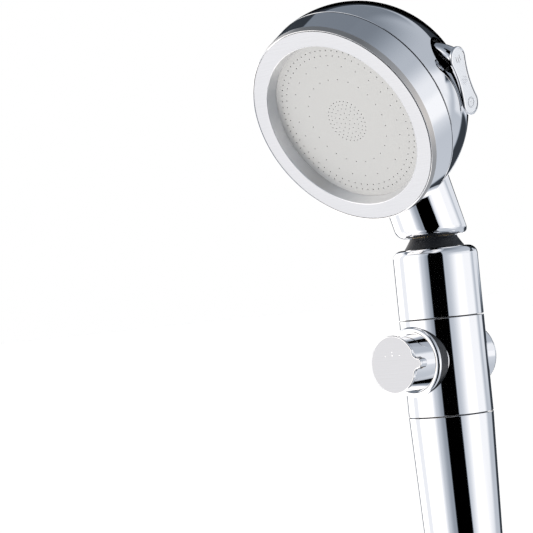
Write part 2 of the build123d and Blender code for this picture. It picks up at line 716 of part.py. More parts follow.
with BuildPart() as housing_cavity:
    with BuildSketch(head_section):
        with BuildLine():
            Polyline(
                (0, SEAM_DEPTH + inner_ball_r),
                (0, rim_front - FREE),
                (distributor_bore_r, rim_front - FREE),
                (distributor_bore_r, ledge_depth),
                (ledge_r, ledge_depth),
                (ledge_r, ledge_back),
                (ledge_back_r, ledge_back),
            )
            RadiusArc((ledge_back_r, ledge_back), (0, SEAM_DEPTH + inner_ball_r), -inner_ball_r)
        make_face()
    revolve(axis=head_axis)
    # the two lugs that carry the rocker's pin are left standing
    with BuildSketch(flank_plane(rocker_x - LUG_HALF_HEIGHT)):
        for side in (1, -1):
            with Locations((0, -ROCKER_DEPTH + side * (lug_inside + lug_outside) / 2)):
                Rectangle(2 * LUG_HALF_HEIGHT, LUG_THICKNESS)
    extrude(amount=BALL_R, mode=Mode.SUBTRACT)

with BuildPart() as rear_housing:
    with BuildSketch(neck_plane.offset(-NECK_R)):
        Circle(NECK_R)
    extrude(amount=neck_reach + NECK_R)
    split(bisect_by=Plane.XY.offset(z_neck), keep=Keep.TOP)
    fillet(rear_housing.faces().sort_by(Axis.Z)[0].edges(), NECK_EDGE_R)
    add(turned_on_head([
        (0, 0),
        (BALL_R + FREE, 0),
        (BALL_R + FREE, housing_front),
        (0, housing_front),
    ]), mode=Mode.SUBTRACT)
    with BuildSketch(head_section):
        with BuildLine():
            Polyline(
                (0, SEAM_DEPTH + BALL_R),
                (0, rim_front),
                (rim_r, rim_front),
                (rim_r, housing_front),
                (ball_edge_r, housing_front),
            )
            RadiusArc((ball_edge_r, housing_front), (0, SEAM_DEPTH + BALL_R), -BALL_R)
        make_face()
    revolve(axis=head_axis)
    add(housing_cavity.part, mode=Mode.SUBTRACT)
    # keyhole opening under the rocker
    with BuildSketch(flank_plane(rocker_x - LUG_HALF_HEIGHT)):
        with Locations((POCKET_RISE, -ROCKER_DEPTH)):
            Circle(POCKET_R)
        with Locations(((POCKET_RISE - POCKET_DROP + POCKET_HALF_WIDTH) / 2, -ROCKER_DEPTH)):
            Rectangle(POCKET_RISE + POCKET_DROP - POCKET_HALF_WIDTH, 2 * POCKET_HALF_WIDTH)
        with Locations((POCKET_HALF_WIDTH - POCKET_DROP, -ROCKER_DEPTH)):
            Circle(POCKET_HALF_WIDTH)
    extrude(amount=BALL_R, mode=Mode.SUBTRACT)
    with BuildSketch(face_plane(ROCKER_DEPTH - lug_outside, rocker_x)):
        Circle(PIN_R + SEAT)
    extrude(amount=-2 * lug_outside, mode=Mode.SUBTRACT)
    # socket for the swivel, groove for its clip, way for the feed tube
    with BuildSketch(Plane.XY.offset(z_neck)):
        Circle(SPIGOT_R + RUN)
    extrude(amount=SPIGOT_RISE + FREE, mode=Mode.SUBTRACT)
    with BuildSketch(Plane.XY.offset(z_clip - CLIP_THICKNESS / 2 - SEAT)):
        Circle(SPIGOT_R + CLIP_DEPTH)
    extrude(amount=CLIP_THICKNESS + 2 * SEAT, mode=Mode.SUBTRACT)
    with BuildSketch(neck_plane.offset(SPIGOT_RISE - FREE)):
        Circle(FEED_R + SEAT)
    extrude(amount=neck_reach, mode=Mode.SUBTRACT)
rear_housing.part.label = "rear_housing"
export_step(rear_housing.part, "parts/rear_housing.step")

with BuildPart() as swivel_clip:
    with BuildSketch(Plane.XY.offset(z_clip - CLIP_THICKNESS / 2)):
        Circle(SPIGOT_R + CLIP_DEPTH - SEAT)
        Circle(clip_groove_r + FREE, mode=Mode.SUBTRACT)
        with BuildLine():
            half_gap = math.radians(CLIP_GAP_ANGLE / 2)
            gap_reach = 2 * SPIGOT_R
            Polyline(
                (0, 0),
                (gap_reach * math.cos(half_gap), gap_reach * math.sin(half_gap)),
                (gap_reach * math.cos(half_gap), -gap_reach * math.sin(half_gap)),
                close=True,
            )
        make_face(mode=Mode.SUBTRACT)
    extrude(amount=CLIP_THICKNESS)
swivel_clip.part.label = "swivel_clip"
export_step(swivel_clip.part, "parts/swivel_clip.step")

feed_start = SPIGOT_RISE + FEED_GAP
feed_entry = ((face_centre - neck_foot).dot(upward) - DIVERTER_HALF_HEIGHT) / neck_way.dot(upward)

with BuildPart() as feed_tube:
    with BuildSketch(neck_plane.offset(feed_start)):
        Circle(FEED_R)
        Circle(FEED_R - FEED_WALL, mode=Mode.SUBTRACT)
    extrude(amount=feed_entry + FEED_SOCKET - feed_start)
feed_tube.part.label = "feed_tube"
export_step(feed_tube.part, "parts/feed_tube.step")

ring_face_r = ring_edge_r - RING_CHAMFER
bezel_r = ring_face_r - FREE
bezel_throat_r = plate_view_r + 2 * SEAT
bezel_bore_r = plate_view_r + BEZEL_FLARE
skirt_r = bezel_bore_r - (bezel_bore_r - bezel_throat_r) * BEZEL_THICKNESS / PLATE_DEPTH + BEZEL_SKIRT_WALL

with BuildPart() as front_ring:
    add(turned_on_head([
        (ring_face_r, 0),
        (ring_edge_r, RING_CHAMFER_DEPTH),
        (BALL_R, SEAM_DEPTH - SEAM / 2),
        (rim_r + SEAT, SEAM_DEPTH - SEAM / 2),
        (rim_r + SEAT, rim_front - SEAT),
        (plate_r + SEAT, rim_front - SEAT),
        (plate_r + SEAT, PLATE_DEPTH),
        (skirt_r + SEAT, PLATE_DEPTH),
        (skirt_r + SEAT, BEZEL_THICKNESS),
        (bezel_r + SEAT / 2, BEZEL_THICKNESS),
        (bezel_r + SEAT / 2, 0),
    ]))
front_ring.part.label = "front_ring"
export_step(front_ring.part, "parts/front_ring.step")

with BuildPart() as bezel_ring:
    add(turned_on_head([
        (bezel_bore_r, 0),
        (bezel_r, 0),
        (bezel_r, BEZEL_THICKNESS - SEAT / 2),
        (skirt_r, BEZEL_THICKNESS - SEAT / 2),
        (skirt_r, PLATE_DEPTH - SEAT / 2),
        (bezel_throat_r, PLATE_DEPTH - SEAT / 2),
    ]))
bezel_ring.part.label = "bezel_ring"
export_step(bezel_ring.part, "parts/bezel_ring.step")

with BuildPart() as spray_plate:
    with BuildSketch(face_plane(PLATE_DEPTH)):
        Circle(plate_r)
        for ring_r, count in zip(HOLE_RING_RADII, HOLE_RING_COUNTS):
            with PolarLocations(ring_r, count):
                Circle(SPRAY_HOLE_R, mode=Mode.SUBTRACT)
    extrude(amount=-PLATE_THICKNESS)
spray_plate.part.label = "spray_plate"
export_step(spray_plate.part, "parts/spray_plate.step")

chamber_r = bezel_throat_r + 2 * SEAT

with BuildPart() as plate_gasket:
    with BuildSketch(face_plane(gasket_depth)):
        Circle(plate_r)
        Circle(chamber_r, mode=Mode.SUBTRACT)
    extrude(amount=-GASKET_THICKNESS)
plate_gasket.part.label = "plate_gasket"
export_step(plate_gasket.part, "parts/plate_gasket.step")

seal_depth = distributor_depth + DISTRIBUTOR_THICKNESS * 0.55
screw_circle_r = DIVERTER_FLANGE_R - SCREW_HEAD_R - EDGE
slide_right = rocker_x - TAIL_LENGTH - TAIL_R - TAIL_GAP
inner_port = (SLIDE_LEFT + PORT_R, MODE_PORT_SPACING / 2)
outer_port = (slide_right - PORT_R * 0.8, -MODE_PORT_SPACING / 2)

with BuildPart() as distributor:
    with BuildSketch(face_plane(distributor_depth)):
        Circle(distributor_r)
    extrude(amount=-DISTRIBUTOR_THICKNESS)
    with BuildSketch(face_plane(distributor_depth)):
        Circle(chamber_r)
        Circle(INNER_ZONE_R + CHAMBER_WALL, mode=Mode.SUBTRACT)
        with PolarLocations(screw_circle_r, 3, start_angle=90, angular_range=270):
            Circle(2 * SCREW_R, mode=Mode.SUBTRACT)
        Circle(INNER_ZONE_R)
    extrude(amount=-CHAMBER_DEPTH, mode=Mode.SUBTRACT)
    with BuildSketch(face_plane(distributor_depth)):
        with Locations(inner_port, outer_port):
            Circle(MODE_PORT_R)
    extrude(amount=-DISTRIBUTOR_THICKNESS, mode=Mode.SUBTRACT)
    with BuildSketch(face_plane(diverter_depth)):
        with PolarLocations(screw_circle_r, 3, start_angle=90, angular_range=270):
            Circle(SCREW_R + SEAT)
    extrude(amount=DISTRIBUTOR_THICKNESS * 0.8, mode=Mode.SUBTRACT)
    add(turned_on_head(ring_groove(distributor_r, HEAD_SEAL_R, seal_depth)), mode=Mode.SUBTRACT)
distributor.part.label = "distributor"
export_step(distributor.part, "parts/distributor.step")

with BuildPart() as housing_seal:
    with BuildSketch(head_section):
        with Locations((distributor_r - HEAD_SEAL_R, seal_depth)):
            Circle(HEAD_SEAL_R)
    revolve(axis=head_axis)
housing_seal.part.label = "housing_seal"
export_step(housing_seal.part, "parts/housing_seal.step")

# ---------------------------------------------------------------- diverter

swing = math.radians(ROCKER_SWING)
slide_height = TAIL_LENGTH * math.sin(swing / 2)
channel_half = SLIDE_HALF_HEIGHT + slide_height + FREE
channel_half_depth = SLIDE_HALF_DEPTH + SEAT
diverter_back = ROCKER_DEPTH + channel_half_depth + DIVERTER_BACK_WALL
detent_x = (SLIDE_LEFT + slide_right) / 2
slide_back = ROCKER_DEPTH + SLIDE_HALF_DEPTH
tower_width = DIVERTER_RIGHT + DIVERTER_LEFT
tower_middle = (DIVERTER_RIGHT - DIVERTER_LEFT) / 2

with BuildPart() as diverter_body:
    with BuildSketch(face_plane(diverter_depth)):
        Circle(DIVERTER_FLANGE_R)
    extrude(amount=-DIVERTER_FLANGE)
    with BuildSketch(face_plane(diverter_depth)):
        with Locations((tower_middle, 0)):
            RectangleRounded(tower_width, 2 * DIVERTER_HALF_HEIGHT, DIVERTER_CORNER_R)
    extrude(amount=-(diverter_back - diverter_depth))
    with BuildSketch(face_plane(diverter_depth)):
        with PolarLocations(screw_circle_r, 3, start_angle=90, angular_range=270):
            Circle(SCREW_R + SEAT)
    extrude(amount=-DIVERTER_FLANGE, mode=Mode.SUBTRACT)
    # the channel that the slide runs in, open towards the rocker
    with BuildSketch(face_plane(ROCKER_DEPTH - channel_half_depth)):
        with Locations(((SLIDE_LEFT - FREE + BALL_R) / 2, 0)):
            Rectangle(BALL_R - SLIDE_LEFT + FREE, 2 * channel_half)
    extrude(amount=-2 * channel_half_depth, mode=Mode.SUBTRACT)
    # groove over the detent ball
    with BuildSketch(face_plane(ROCKER_DEPTH + channel_half_depth)):
        with Locations((detent_x, 0)):
            Rectangle(2 * (BALL_DETENT_R + FREE), 2 * (slide_height + BALL_DETENT_R + FREE))
    extrude(amount=-(DETENT_GROOVE + FREE), mode=Mode.SUBTRACT)
    # water in from the feed tube, and out through the two mode ports
    with BuildSketch(neck_plane.offset(feed_entry - FEED_SOCKET)):
        Circle(FEED_R + SEAT)
    extrude(amount=2 * FEED_SOCKET + SEAT, mode=Mode.SUBTRACT)
    with BuildSketch(neck_plane.offset(feed_entry)):
        Circle(FEED_R - FEED_WALL)
    extrude(amount=DIVERTER_HALF_HEIGHT, mode=Mode.SUBTRACT)
    with BuildSketch(face_plane(ROCKER_DEPTH - SLIDE_HALF_DEPTH / 2)):
        with Locations((SLIDE_LEFT / 2, 0)):
            Rectangle(2 * SLIDE_LEFT, SLIDE_HALF_HEIGHT)
    extrude(amount=-SLIDE_HALF_DEPTH, mode=Mode.SUBTRACT)
    with BuildSketch(face_plane(diverter_depth)):
        with Locations(inner_port, outer_port):
            Circle(MODE_PORT_R)
    extrude(amount=-(ROCKER_DEPTH - diverter_depth), mode=Mode.SUBTRACT)
diverter_body.part.label = "diverter_body"
export_step(diverter_body.part, "parts/diverter_body.step")

with BuildPart() as diverter_screws:
    with BuildSketch(face_plane(diverter_depth - DISTRIBUTOR_THICKNESS * 0.7)):
        with PolarLocations(screw_circle_r, 3, start_angle=90, angular_range=270):
            Circle(SCREW_R)
    extrude(amount=-(DISTRIBUTOR_THICKNESS * 0.7 + DIVERTER_FLANGE))
    with BuildSketch(face_plane(diverter_depth + DIVERTER_FLANGE)):
        with PolarLocations(screw_circle_r, 3, start_angle=90, angular_range=270):
            Circle(SCREW_HEAD_R)
    extrude(amount=-SCREW_HEAD)
diverter_screws.part.label = "diverter_screws"
export_step(diverter_screws.part, "parts/diverter_screws.step")

with BuildPart() as diverter_slide:
    with BuildSketch(face_plane(ROCKER_DEPTH - SLIDE_HALF_DEPTH)):
        with Locations(((SLIDE_LEFT + slide_right) / 2, slide_height)):
            Rectangle(slide_right - SLIDE_LEFT, 2 * SLIDE_HALF_HEIGHT)
        for side in (1, -1):
            prong_height = slide_height + side * (TAIL_R + FREE + FORK_ARM / 2)
            with Locations((slide_right + FORK_REACH / 2, prong_height)):
                Rectangle(FORK_REACH, FORK_ARM)
    extrude(amount=-2 * SLIDE_HALF_DEPTH)
    fillet(diverter_slide.edges().filter_by(Axis(face_centre, backward)).group_by(Axis.X)[-1], FORK_EDGE_R)
    with BuildSketch(face_plane(slide_back, detent_x, slide_height)):
        Circle(BALL_DETENT_R + SEAT)
    extrude(amount=SLIDE_HALF_DEPTH, mode=Mode.SUBTRACT)
diverter_slide.part.label = "diverter_slide"
export_step(diverter_slide.part, "parts/diverter_slide.step")

ball_depth = slide_back + SEAT + DETENT_GROOVE - BALL_DETENT_R
ball_centre = face_centre + backward * ball_depth + upward * slide_height + Vector(detent_x, 0, 0)

with BuildPart() as detent_ball:
    with Locations(Location(ball_centre)):
        Sphere(BALL_DETENT_R)
detent_ball.part.label = "detent_ball"
export_step(detent_ball.part, "parts/detent_ball.step")

spring_bottom = slide_back - SLIDE_HALF_DEPTH + SPRING_WIRE_R + SEAT / 2
spring_top = ball_depth - BALL_DETENT_R - SPRING_WIRE_R - SEAT / 2
spring_coil_r = BALL_DETENT_R - SPRING_WIRE_R - SEAT

with BuildPart() as detent_spring:
    with BuildLine() as coil:
        Helix(
            pitch=SPRING_PITCH,
            height=spring_top - spring_bottom,
            radius=spring_coil_r,
            center=ball_centre - backward * (ball_depth - spring_top),
            direction=outward,
        )
    with BuildSketch(Plane(origin=coil.line @ 0, z_dir=coil.line % 0)):
        Circle(SPRING_WIRE_R)
    sweep()
detent_spring.part.label = "detent_spring"
export_step(detent_spring.part, "parts/detent_spring.step")

# ---------------------------------------------------------------- mode rocker

rocker_normal = Vector(math.cos(swing / 2), 0, 0) - upward * math.sin(swing / 2)
rocker_up = upward * math.cos(swing / 2) + Vector(math.sin(swing / 2), 0, 0)
rocker_profile_plane = Plane(origin=pivot, x_dir=rocker_normal, z_dir=outward)
rocker_face_plane = Plane(origin=pivot + rocker_normal * ROCKER_REACH, x_dir=rocker_up, z_dir=rocker_normal)
waist_r = (LOBE_SPACING ** 2 / 4 + WAIST_HALF_WIDTH ** 2 - LOBE_R ** 2) / (2 * (LOBE_R - WAIST_HALF_WIDTH))
web_face = ROCKER_REACH - ROCKER_FACE_THICKNESS

with BuildPart() as rocker_plate:
    with BuildSketch(rocker_face_plane):
        with BuildLine():
            lobe = LOBE_SPACING / 2
            waist_centre = waist_r + WAIST_HALF_WIDTH
            reach = LOBE_R / (waist_r + LOBE_R)
            joint_x = lobe * (1 - reach)
            joint_y = waist_centre * reach
            ThreePointArc((joint_x, joint_y), (lobe + LOBE_R, 0), (joint_x, -joint_y))
            ThreePointArc((joint_x, -joint_y), (0, -WAIST_HALF_WIDTH), (-joint_x, -joint_y))
            ThreePointArc((-joint_x, -joint_y), (-lobe - LOBE_R, 0), (-joint_x, joint_y))
            ThreePointArc((-joint_x, joint_y), (0, WAIST_HALF_WIDTH), (joint_x, joint_y))
        make_face()
    extrude(amount=-ROCKER_FACE_THICKNESS)
    fillet(rocker_plate.faces().sort_by(Axis.X)[-1].edges(), ROCKER_FACE_EDGE_R)
rocker_plate.part.label = "rocker_plate"
export_step(rocker_plate.part, "parts/rocker_plate.step")

skirt_arc_r = lobe + LOBE_R + SKIRT_RISE
skirt_start = math.asin((lobe + LOBE_R - SKIRT_STEP) / skirt_arc_r)
skirt_end = math.radians(SKIRT_ANGLE)
hub_r = PIN_R + ROCKER_HUB_WALL

# skirt that closes the opening above the rocker
with BuildPart() as rocker_skirt:
    with BuildSketch(rocker_profile_plane):
        with BuildLine():
            outer_corner = (skirt_arc_r * math.cos(skirt_start), skirt_arc_r * math.sin(skirt_start))
            tip = (skirt_arc_r * math.cos(skirt_end), skirt_arc_r * math.sin(skirt_end))
            RadiusArc(outer_corner, tip, -skirt_arc_r)
            Polyline(
                tip,
                (web_face - SKIRT_WALL, lobe / 2),
                (web_face, lobe / 2),
                (web_face, outer_corner[1]),
                outer_corner,
            )
        make_face()
    extrude(amount=SKIRT_HALF_WIDTH, both=True)
    fillet(rocker_skirt.edges().filter_by(GeomType.CIRCLE), SKIRT_EDGE_R)

with BuildPart() as mode_rocker:
    with BuildSketch(rocker_profile_plane):
        Circle(hub_r)
        with BuildLine():
            # web from the hub to the face plate
            Polyline(
                (0, -hub_r),
                (web_face, -lobe),
                (web_face, lobe),
                (0, hub_r),
                close=True,
            )
        make_face()
        # tail that moves the slide
        with Locations((-TAIL_LENGTH / 2, 0)):
            Rectangle(TAIL_LENGTH, TAIL_WIDTH)
        with Locations((-TAIL_LENGTH, 0)):
            Circle(TAIL_R)
    extrude(amount=ROCKER_WEB_HALF, both=True)
    add(rocker_skirt.part)
    with BuildSketch(rocker_profile_plane):
        Circle(PIN_R + RUN)
    extrude(amount=ROCKER_WEB_HALF, both=True, mode=Mode.SUBTRACT)
mode_rocker.part.label = "mode_rocker"
export_step(mode_rocker.part, "parts/mode_rocker.step")

with BuildPart() as rocker_pin:
    with BuildSketch(face_plane(ROCKER_DEPTH - PIN_LENGTH / 2, rocker_x)):
        Circle(PIN_R)
    extrude(amount=-PIN_LENGTH)
rocker_pin.part.label = "rocker_pin"
export_step(rocker_pin.part, "parts/rocker_pin.step")
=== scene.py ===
"""Handheld shower head in chrome on a white studio floor.

Sizes are millimetres, turned into metres as each mesh is closed. The handle's axis is +Z, the
spray face looks towards -Y and down, and the mode rocker is on the +X flank of the head.
"""

import json
import math

import bmesh
import bpy
from mathutils import Matrix, Vector
from mathutils.geometry import interpolate_bezier


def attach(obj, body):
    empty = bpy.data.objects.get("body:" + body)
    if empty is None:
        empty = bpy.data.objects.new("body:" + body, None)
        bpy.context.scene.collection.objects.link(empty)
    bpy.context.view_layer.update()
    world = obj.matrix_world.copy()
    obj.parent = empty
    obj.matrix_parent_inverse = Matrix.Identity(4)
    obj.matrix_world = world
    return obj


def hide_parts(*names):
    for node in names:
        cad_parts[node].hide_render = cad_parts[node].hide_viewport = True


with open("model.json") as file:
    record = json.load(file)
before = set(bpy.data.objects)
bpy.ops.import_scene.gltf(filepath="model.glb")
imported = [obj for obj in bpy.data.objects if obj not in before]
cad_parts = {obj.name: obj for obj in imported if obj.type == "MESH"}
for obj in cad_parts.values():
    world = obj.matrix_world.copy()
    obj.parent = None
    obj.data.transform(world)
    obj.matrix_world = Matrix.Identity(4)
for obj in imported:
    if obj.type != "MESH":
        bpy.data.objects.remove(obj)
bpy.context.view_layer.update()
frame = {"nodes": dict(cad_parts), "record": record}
nodes = frame["nodes"]

MM = 0.001
ROUND = 192           # steps of a full turn on the large chrome shells
ROUND_HEAD = 256
ROUND_KNOB = 144
SAME = 1e-4           # heights and radii closer than this are the same
ON_SURFACE = 0.004    # a point this close to a cylinder or a ball lies on it
ON_FILLET = 0.006
NEARLY_FLAT = 0.94    # cosine between a face and a surface that it belongs to

# ---------------------------------------------------------------- heights and radii
z_cone = 12.0
z_shoulder = 34.0
z_taper = 38.0
z_lower_seam = 98.0
z_valve = 119.0
z_upper_seam = 134.2
z_collar_top = 160.3
z_neck = 164.6
seam = 0.4
handle_r = 15.85
handle_end_r = 14.05
wall = 2.2
seam_edge = 0.18      # rounding of the shells' edges at the seams
through = 30.0        # length of a cutter that pierces a shell
spigot_r = 8.2        # bore round the swivel spigot
knob_hole_r = 10.5
knob_face_back = 28.7
knob_face_front = 30.0
button_r = 11.6

tilt = math.radians(28.0)
face_centre = Vector((0, -45.4, 206.4))
outward = Vector((0, -math.cos(tilt), -math.sin(tilt)))
upward = Vector((0, -math.sin(tilt), math.cos(tilt)))
lean = math.radians(21.0)
ball_r = 40.0
seam_depth = 11.6
ring_face_r = 38.45   # front edge of the chrome ring
bezel_r = 37.95
ball_centre = face_centre - outward * seam_depth
neck_foot = Vector((0, 0, z_neck))
neck_way = Vector((0, -math.sin(lean), math.cos(lean)))
neck_r = 13.0
swing = math.radians(17.6)
rocker_depth = 26.2
pivot = face_centre - outward * rocker_depth + Vector((30.3, 0, 0))
rocker_reach = 9.8
web_face = rocker_reach - 0.9
lobe = 17.4 / 2       # from the rocker's middle to each lobe's
icon_relief = 0.2


def frame_of(origin, x_way, z_way):
    """A matrix whose z looks along z_way and whose x is x_way."""
    z_way = z_way.normalized()
    x_way = x_way.normalized()
    y_way = z_way.cross(x_way)
    turn = Matrix((x_way, y_way, z_way)).transposed().to_4x4()
    return Matrix.Translation(origin) @ turn


handle_place = Matrix.Identity(4)
head_place = frame_of(face_centre, Vector((1, 0, 0)), outward)
neck_place = frame_of(neck_foot, Vector((1, 0, 0)), neck_way)
knob_place = frame_of(Vector((0, 0, z_valve)), Vector((1, 0, 0)), Vector((0, -1, 0)))
button_place = frame_of(Vector((0, 0, z_valve)), Vector((1, 0, 0)), Vector((0, 1, 0)))
rocker_normal = Vector((math.cos(swing / 2), 0, 0)) - upward * math.sin(swing / 2)
rocker_up = upward * math.cos(swing / 2) + Vector((math.sin(swing / 2), 0, 0))
rocker_place = frame_of(pivot, rocker_up, rocker_normal)
rocker_side = frame_of(pivot, rocker_normal, outward)


# ================================================================ finishes

class Value:
    """A socket that carries a number or a vector, with the arithmetic that a finish needs."""

    def __init__(self, owner, socket):
        self.owner = owner
        self.socket = socket

    def _math(self, operation, a, b):
        return self.owner.node("ShaderNodeMath", {"operation": operation}, {0: a, 1: b})

    def __add__(self, other):
        return self._math("ADD", self, other)

    __radd__ = __add__

    def __sub__(self, other):
        return self._math("SUBTRACT", self, other)

    def __rsub__(self, other):
        return self._math("SUBTRACT", other, self)

    def __mul__(self, other):
        return self._math("MULTIPLY", self, other)

    def step(self, start, end):
        """0 below start and 1 above end, with a soft rise between."""
        return self.owner.node(
            "ShaderNodeMapRange",
            {"interpolation_type": "SMOOTHSTEP"},
            {"Value": self, "From Min": start, "From Max": end},
        )

    def between(self, rise, fall):
        """1 between a soft rise and a soft fall, each a (start, end), and 0 outside them."""
        return self.step(*rise) * (1 - self.step(*fall))

    def toward(self, other, share):
        """This value moved towards another by a share of the way."""
        return self + (other - self) * share


class Shading:
    """A node tree that is built by calls."""

    def __init__(self, tree):
        self.tree = tree

    def node(self, kind, settings=None, values=None, output=0):
        """Adds a node: its settings first, then the values or links of its sockets."""
        made = self.tree.nodes.new(kind)
        for key, value in (settings or {}).items():
            setattr(made, key, value)
        for key, value in (values or {}).items():
            if isinstance(value, Value):
                self.tree.links.new(value.socket, made.inputs[key])
            else:
                made.inputs[key].default_value = value
        return Value(self, made.outputs[output])


class Finish(Shading):
    """One material: a Principled shader and the nodes that vary it over the surface."""

    def __init__(self, name, color, roughness, metallic=0.0, **sockets):
        self.material = bpy.data.materials.new(name)
        self.material.use_nodes = True
        super().__init__(self.material.node_tree)
        self.shader = self.tree.nodes["Principled BSDF"]
        self.shader.inputs["Base Color"].default_value = (*color, 1)
        self.shader.inputs["Roughness"].default_value = roughness
        self.shader.inputs["Metallic"].default_value = metallic
        for key, value in sockets.items():
            self.shader.inputs[key.replace("_", " ")].default_value = value

    def place(self, origin=(0, 0, 0), turn=(0, 0, 0), scale=(1, 1, 1)):
        """Object coordinates seen from a piece's own frame, in millimetres times scale."""
        here = self.node("ShaderNodeTexCoord", output="Object")
        where = [v * MM for v in origin]
        size = [MM / s for s in scale]
        return self.node(
            "ShaderNodeMapping",
            {"vector_type": "TEXTURE"},
            {"Vector": here, "Location": where, "Rotation": turn, "Scale": size},
        )

    def noise(self, where, scale, detail=2.0, roughness=0.5):
        """Soft random patches, from 0 to 1."""
        return self.node(
            "ShaderNodeTexNoise",
            {"noise_dimensions": "3D"},
            {"Vector": where, "Scale": scale, "Detail": detail, "Roughness": roughness},
        )

    def brushed(self, where, grain_turn, stretch, scale):
        """Fine streaks that run one way across a face."""
        streaks = self.node(
            "ShaderNodeMapping",
            {"vector_type": "POINT"},
            {"Vector": where, "Rotation": (0, 0, grain_turn), "Scale": stretch},
        )
        return self.noise(streaks, scale, 3.0, 0.6)

    def span(self, value, low, high):
        """Stretches a 0 to 1 value over low to high."""
        return value * (high - low) + low

    def drive(self, socket, value):
        """Feeds a value into a socket of the shader."""
        self.tree.links.new(value.socket, self.shader.inputs[socket])

    def bump(self, height, strength, distance):
        """Raises the surface's shading by a height, a distance in millimetres at most."""
        values = {"Height": height, "Strength": strength, "Distance": distance * MM}
        self.drive("Normal", self.node("ShaderNodeBump", None, values))


HEAD_TURN = (math.radians(90) + tilt, 0, 0)
BRUSH_WAY = math.radians(-35)


def chrome_finish():
    """Mirror plating with a breath of unevenness."""
    shade = 0.86
    made = Finish("bright_chrome", (shade, shade, shade * 1.01), 0.035, 1.0)
    haze = made.noise(made.place(), 0.06, 3.0)
    made.drive("Roughness", made.span(haze, 0.02, 0.06))
    return made.material


def satin_finish(
    name, color, origin=face_centre, turn=HEAD_TURN, grain_turn=BRUSH_WAY, grip=0.3
):
    """Plated metal brushed in one direction across its face."""
    made = Finish(name, color, 0.3, 1.0)
    grain = made.brushed(made.place(origin, turn), grain_turn, (0.03, 1.2, 1.2), 2.2)
    made.drive("Roughness", made.span(grain, 0.24, 0.46))
    shade = made.span(grain, 1.0 - grip * 0.4, 1.0 + grip * 0.3)
    channels = dict(zip(("Red", "Green", "Blue"), (shade * channel for channel in color)))
    made.drive("Base Color", made.node("ShaderNodeCombineColor", None, channels))
    made.bump(grain, grip, 0.02)
    return made.material


def plate_finish():
    """Fine matt stainless steel."""
    made = Finish("spray_steel", (0.60, 0.60, 0.59), 0.4, 0.6)
    grain = made.brushed(made.place(face_centre, HEAD_TURN), BRUSH_WAY, (0.04, 2.5, 2.5), 2.0)
    made.drive("Roughness", made.span(grain, 0.34, 0.5))
    made.bump(grain, 0.15, 0.01)
    return made.material


def moulded_finish(name, color, roughness=0.45):
    """Injection-moulded plastic with a faint grain."""
    made = Finish(name, color, roughness)
    grain = made.noise(made.place(), 4.0, 2.0)
    made.drive("Roughness", made.span(grain, roughness - 0.06, roughness + 0.08))
    made.bump(grain, 0.1, 0.02)
    return made.material


def rubber_finish():
    """Dull black rubber; also laid on chrome faces as painted dark reflection and painted shade."""
    made = Finish("black_rubber_and_painted_dark", (0.012, 0.014, 0.018), 0.42, Specular_IOR_Level=0.25)
    grain = made.noise(made.place(), 6.0, 3.0)
    made.drive("Roughness", made.span(grain, 0.34, 0.5))
    return made.material


def metal_finish(name, color, roughness):
    """Turned metal, its tool marks drawn out round the axis."""
    made = Finish(name, color, roughness, 1.0)
    grain = made.noise(made.place(scale=(1, 1, 6)), 1.5, 3.0)
    made.drive("Roughness", made.span(grain, roughness - 0.05, roughness + 0.08))
    return made.material


chrome = chrome_finish()
bezel_satin = satin_finish("bezel_satin", (0.665, 0.675, 0.70))
chamfer_satin = satin_finish("chamfer_satin", (0.52, 0.50, 0.48), grip=0.05)
wall_satin = satin_finish("wall_satin", (0.95, 0.95, 0.96), grip=0.05)
knob_satin = satin_finish(
    "knob_satin", (0.55, 0.56, 0.585), Vector((0, -30, z_valve)), (math.radians(90), 0, 0)
)
rocker_satin = satin_finish(
    "rocker_satin", (0.97, 0.97, 0.97), pivot, (0, math.radians(90), 0), math.radians(20), 0.02
)
spray_steel = plate_finish()
black_plastic = moulded_finish("black_plastic", (0.02, 0.021, 0.024), 0.32)
grey_plastic = moulded_finish("grey_plastic", (0.30, 0.31, 0.32))
white_plastic = moulded_finish("white_plastic", (0.82, 0.82, 0.80), 0.4)
black_rubber_and_painted_dark = rubber_finish()
turned_brass = metal_finish("turned_brass", (0.70, 0.52, 0.26), 0.28)
plain_steel = metal_finish("plain_steel", (0.55, 0.55, 0.56), 0.3)

slot_finishes = {
    "chrome": chrome,
    "satin_chrome": bezel_satin,
    "spray_plate": spray_steel,
    "black_plastic": black_plastic,
    "grey_plastic": grey_plastic,
    "white_plastic": white_plastic,
    "rubber": black_rubber_and_painted_dark,
    "brass": turned_brass,
    "steel": plain_steel,
}
node_slots = {entry["node"]: entry["material_slot"] for entry in frame["record"]["subparts"]}
for node_name, node in nodes.items():
    node.data.materials.clear()
    node.data.materials.append(slot_finishes[node_slots[node_name]])


# ================================================================ making pieces

def shown(name, bm):
    """Puts a bmesh into the scene as a named object."""
    mesh = bpy.data.meshes.new(name)
    bm.to_mesh(mesh)
    bm.free()
    made = bpy.data.objects.new(name, mesh)
    bpy.context.scene.collection.objects.link(made)
    return made


def finished(name, bm, place, body, materials, stands_for=(), flat_angle=30):
    """Closes a bmesh built in millimetres into a named piece that rides on a body."""
    bm.transform(Matrix.Scale(MM, 4) @ place)
    limit = math.radians(flat_angle)
    for face in bm.faces:
        face.smooth = True
    for edge in bm.edges:
        edge.smooth = len(edge.link_faces) == 2 and edge.calc_face_angle(0) < limit
    made = shown(name, bm)
    for material in materials if isinstance(materials, (list, tuple)) else [materials]:
        made.data.materials.append(material)
    evened(made)
    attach(made, body)
    if stands_for:
        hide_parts(*stands_for)
    return made


def kept_out_of_mirrors(piece):
    """Leaves a piece out of its neighbours' reflections, which stay clean bands of the studio."""
    piece.visible_glossy = False


def applied(piece):
    """Bakes a piece's modifiers into its mesh."""
    bpy.context.view_layer.update()
    seen = piece.evaluated_get(bpy.context.evaluated_depsgraph_get())
    mesh = bpy.data.meshes.new_from_object(seen)
    piece.modifiers.clear()
    piece.data = mesh
    return piece


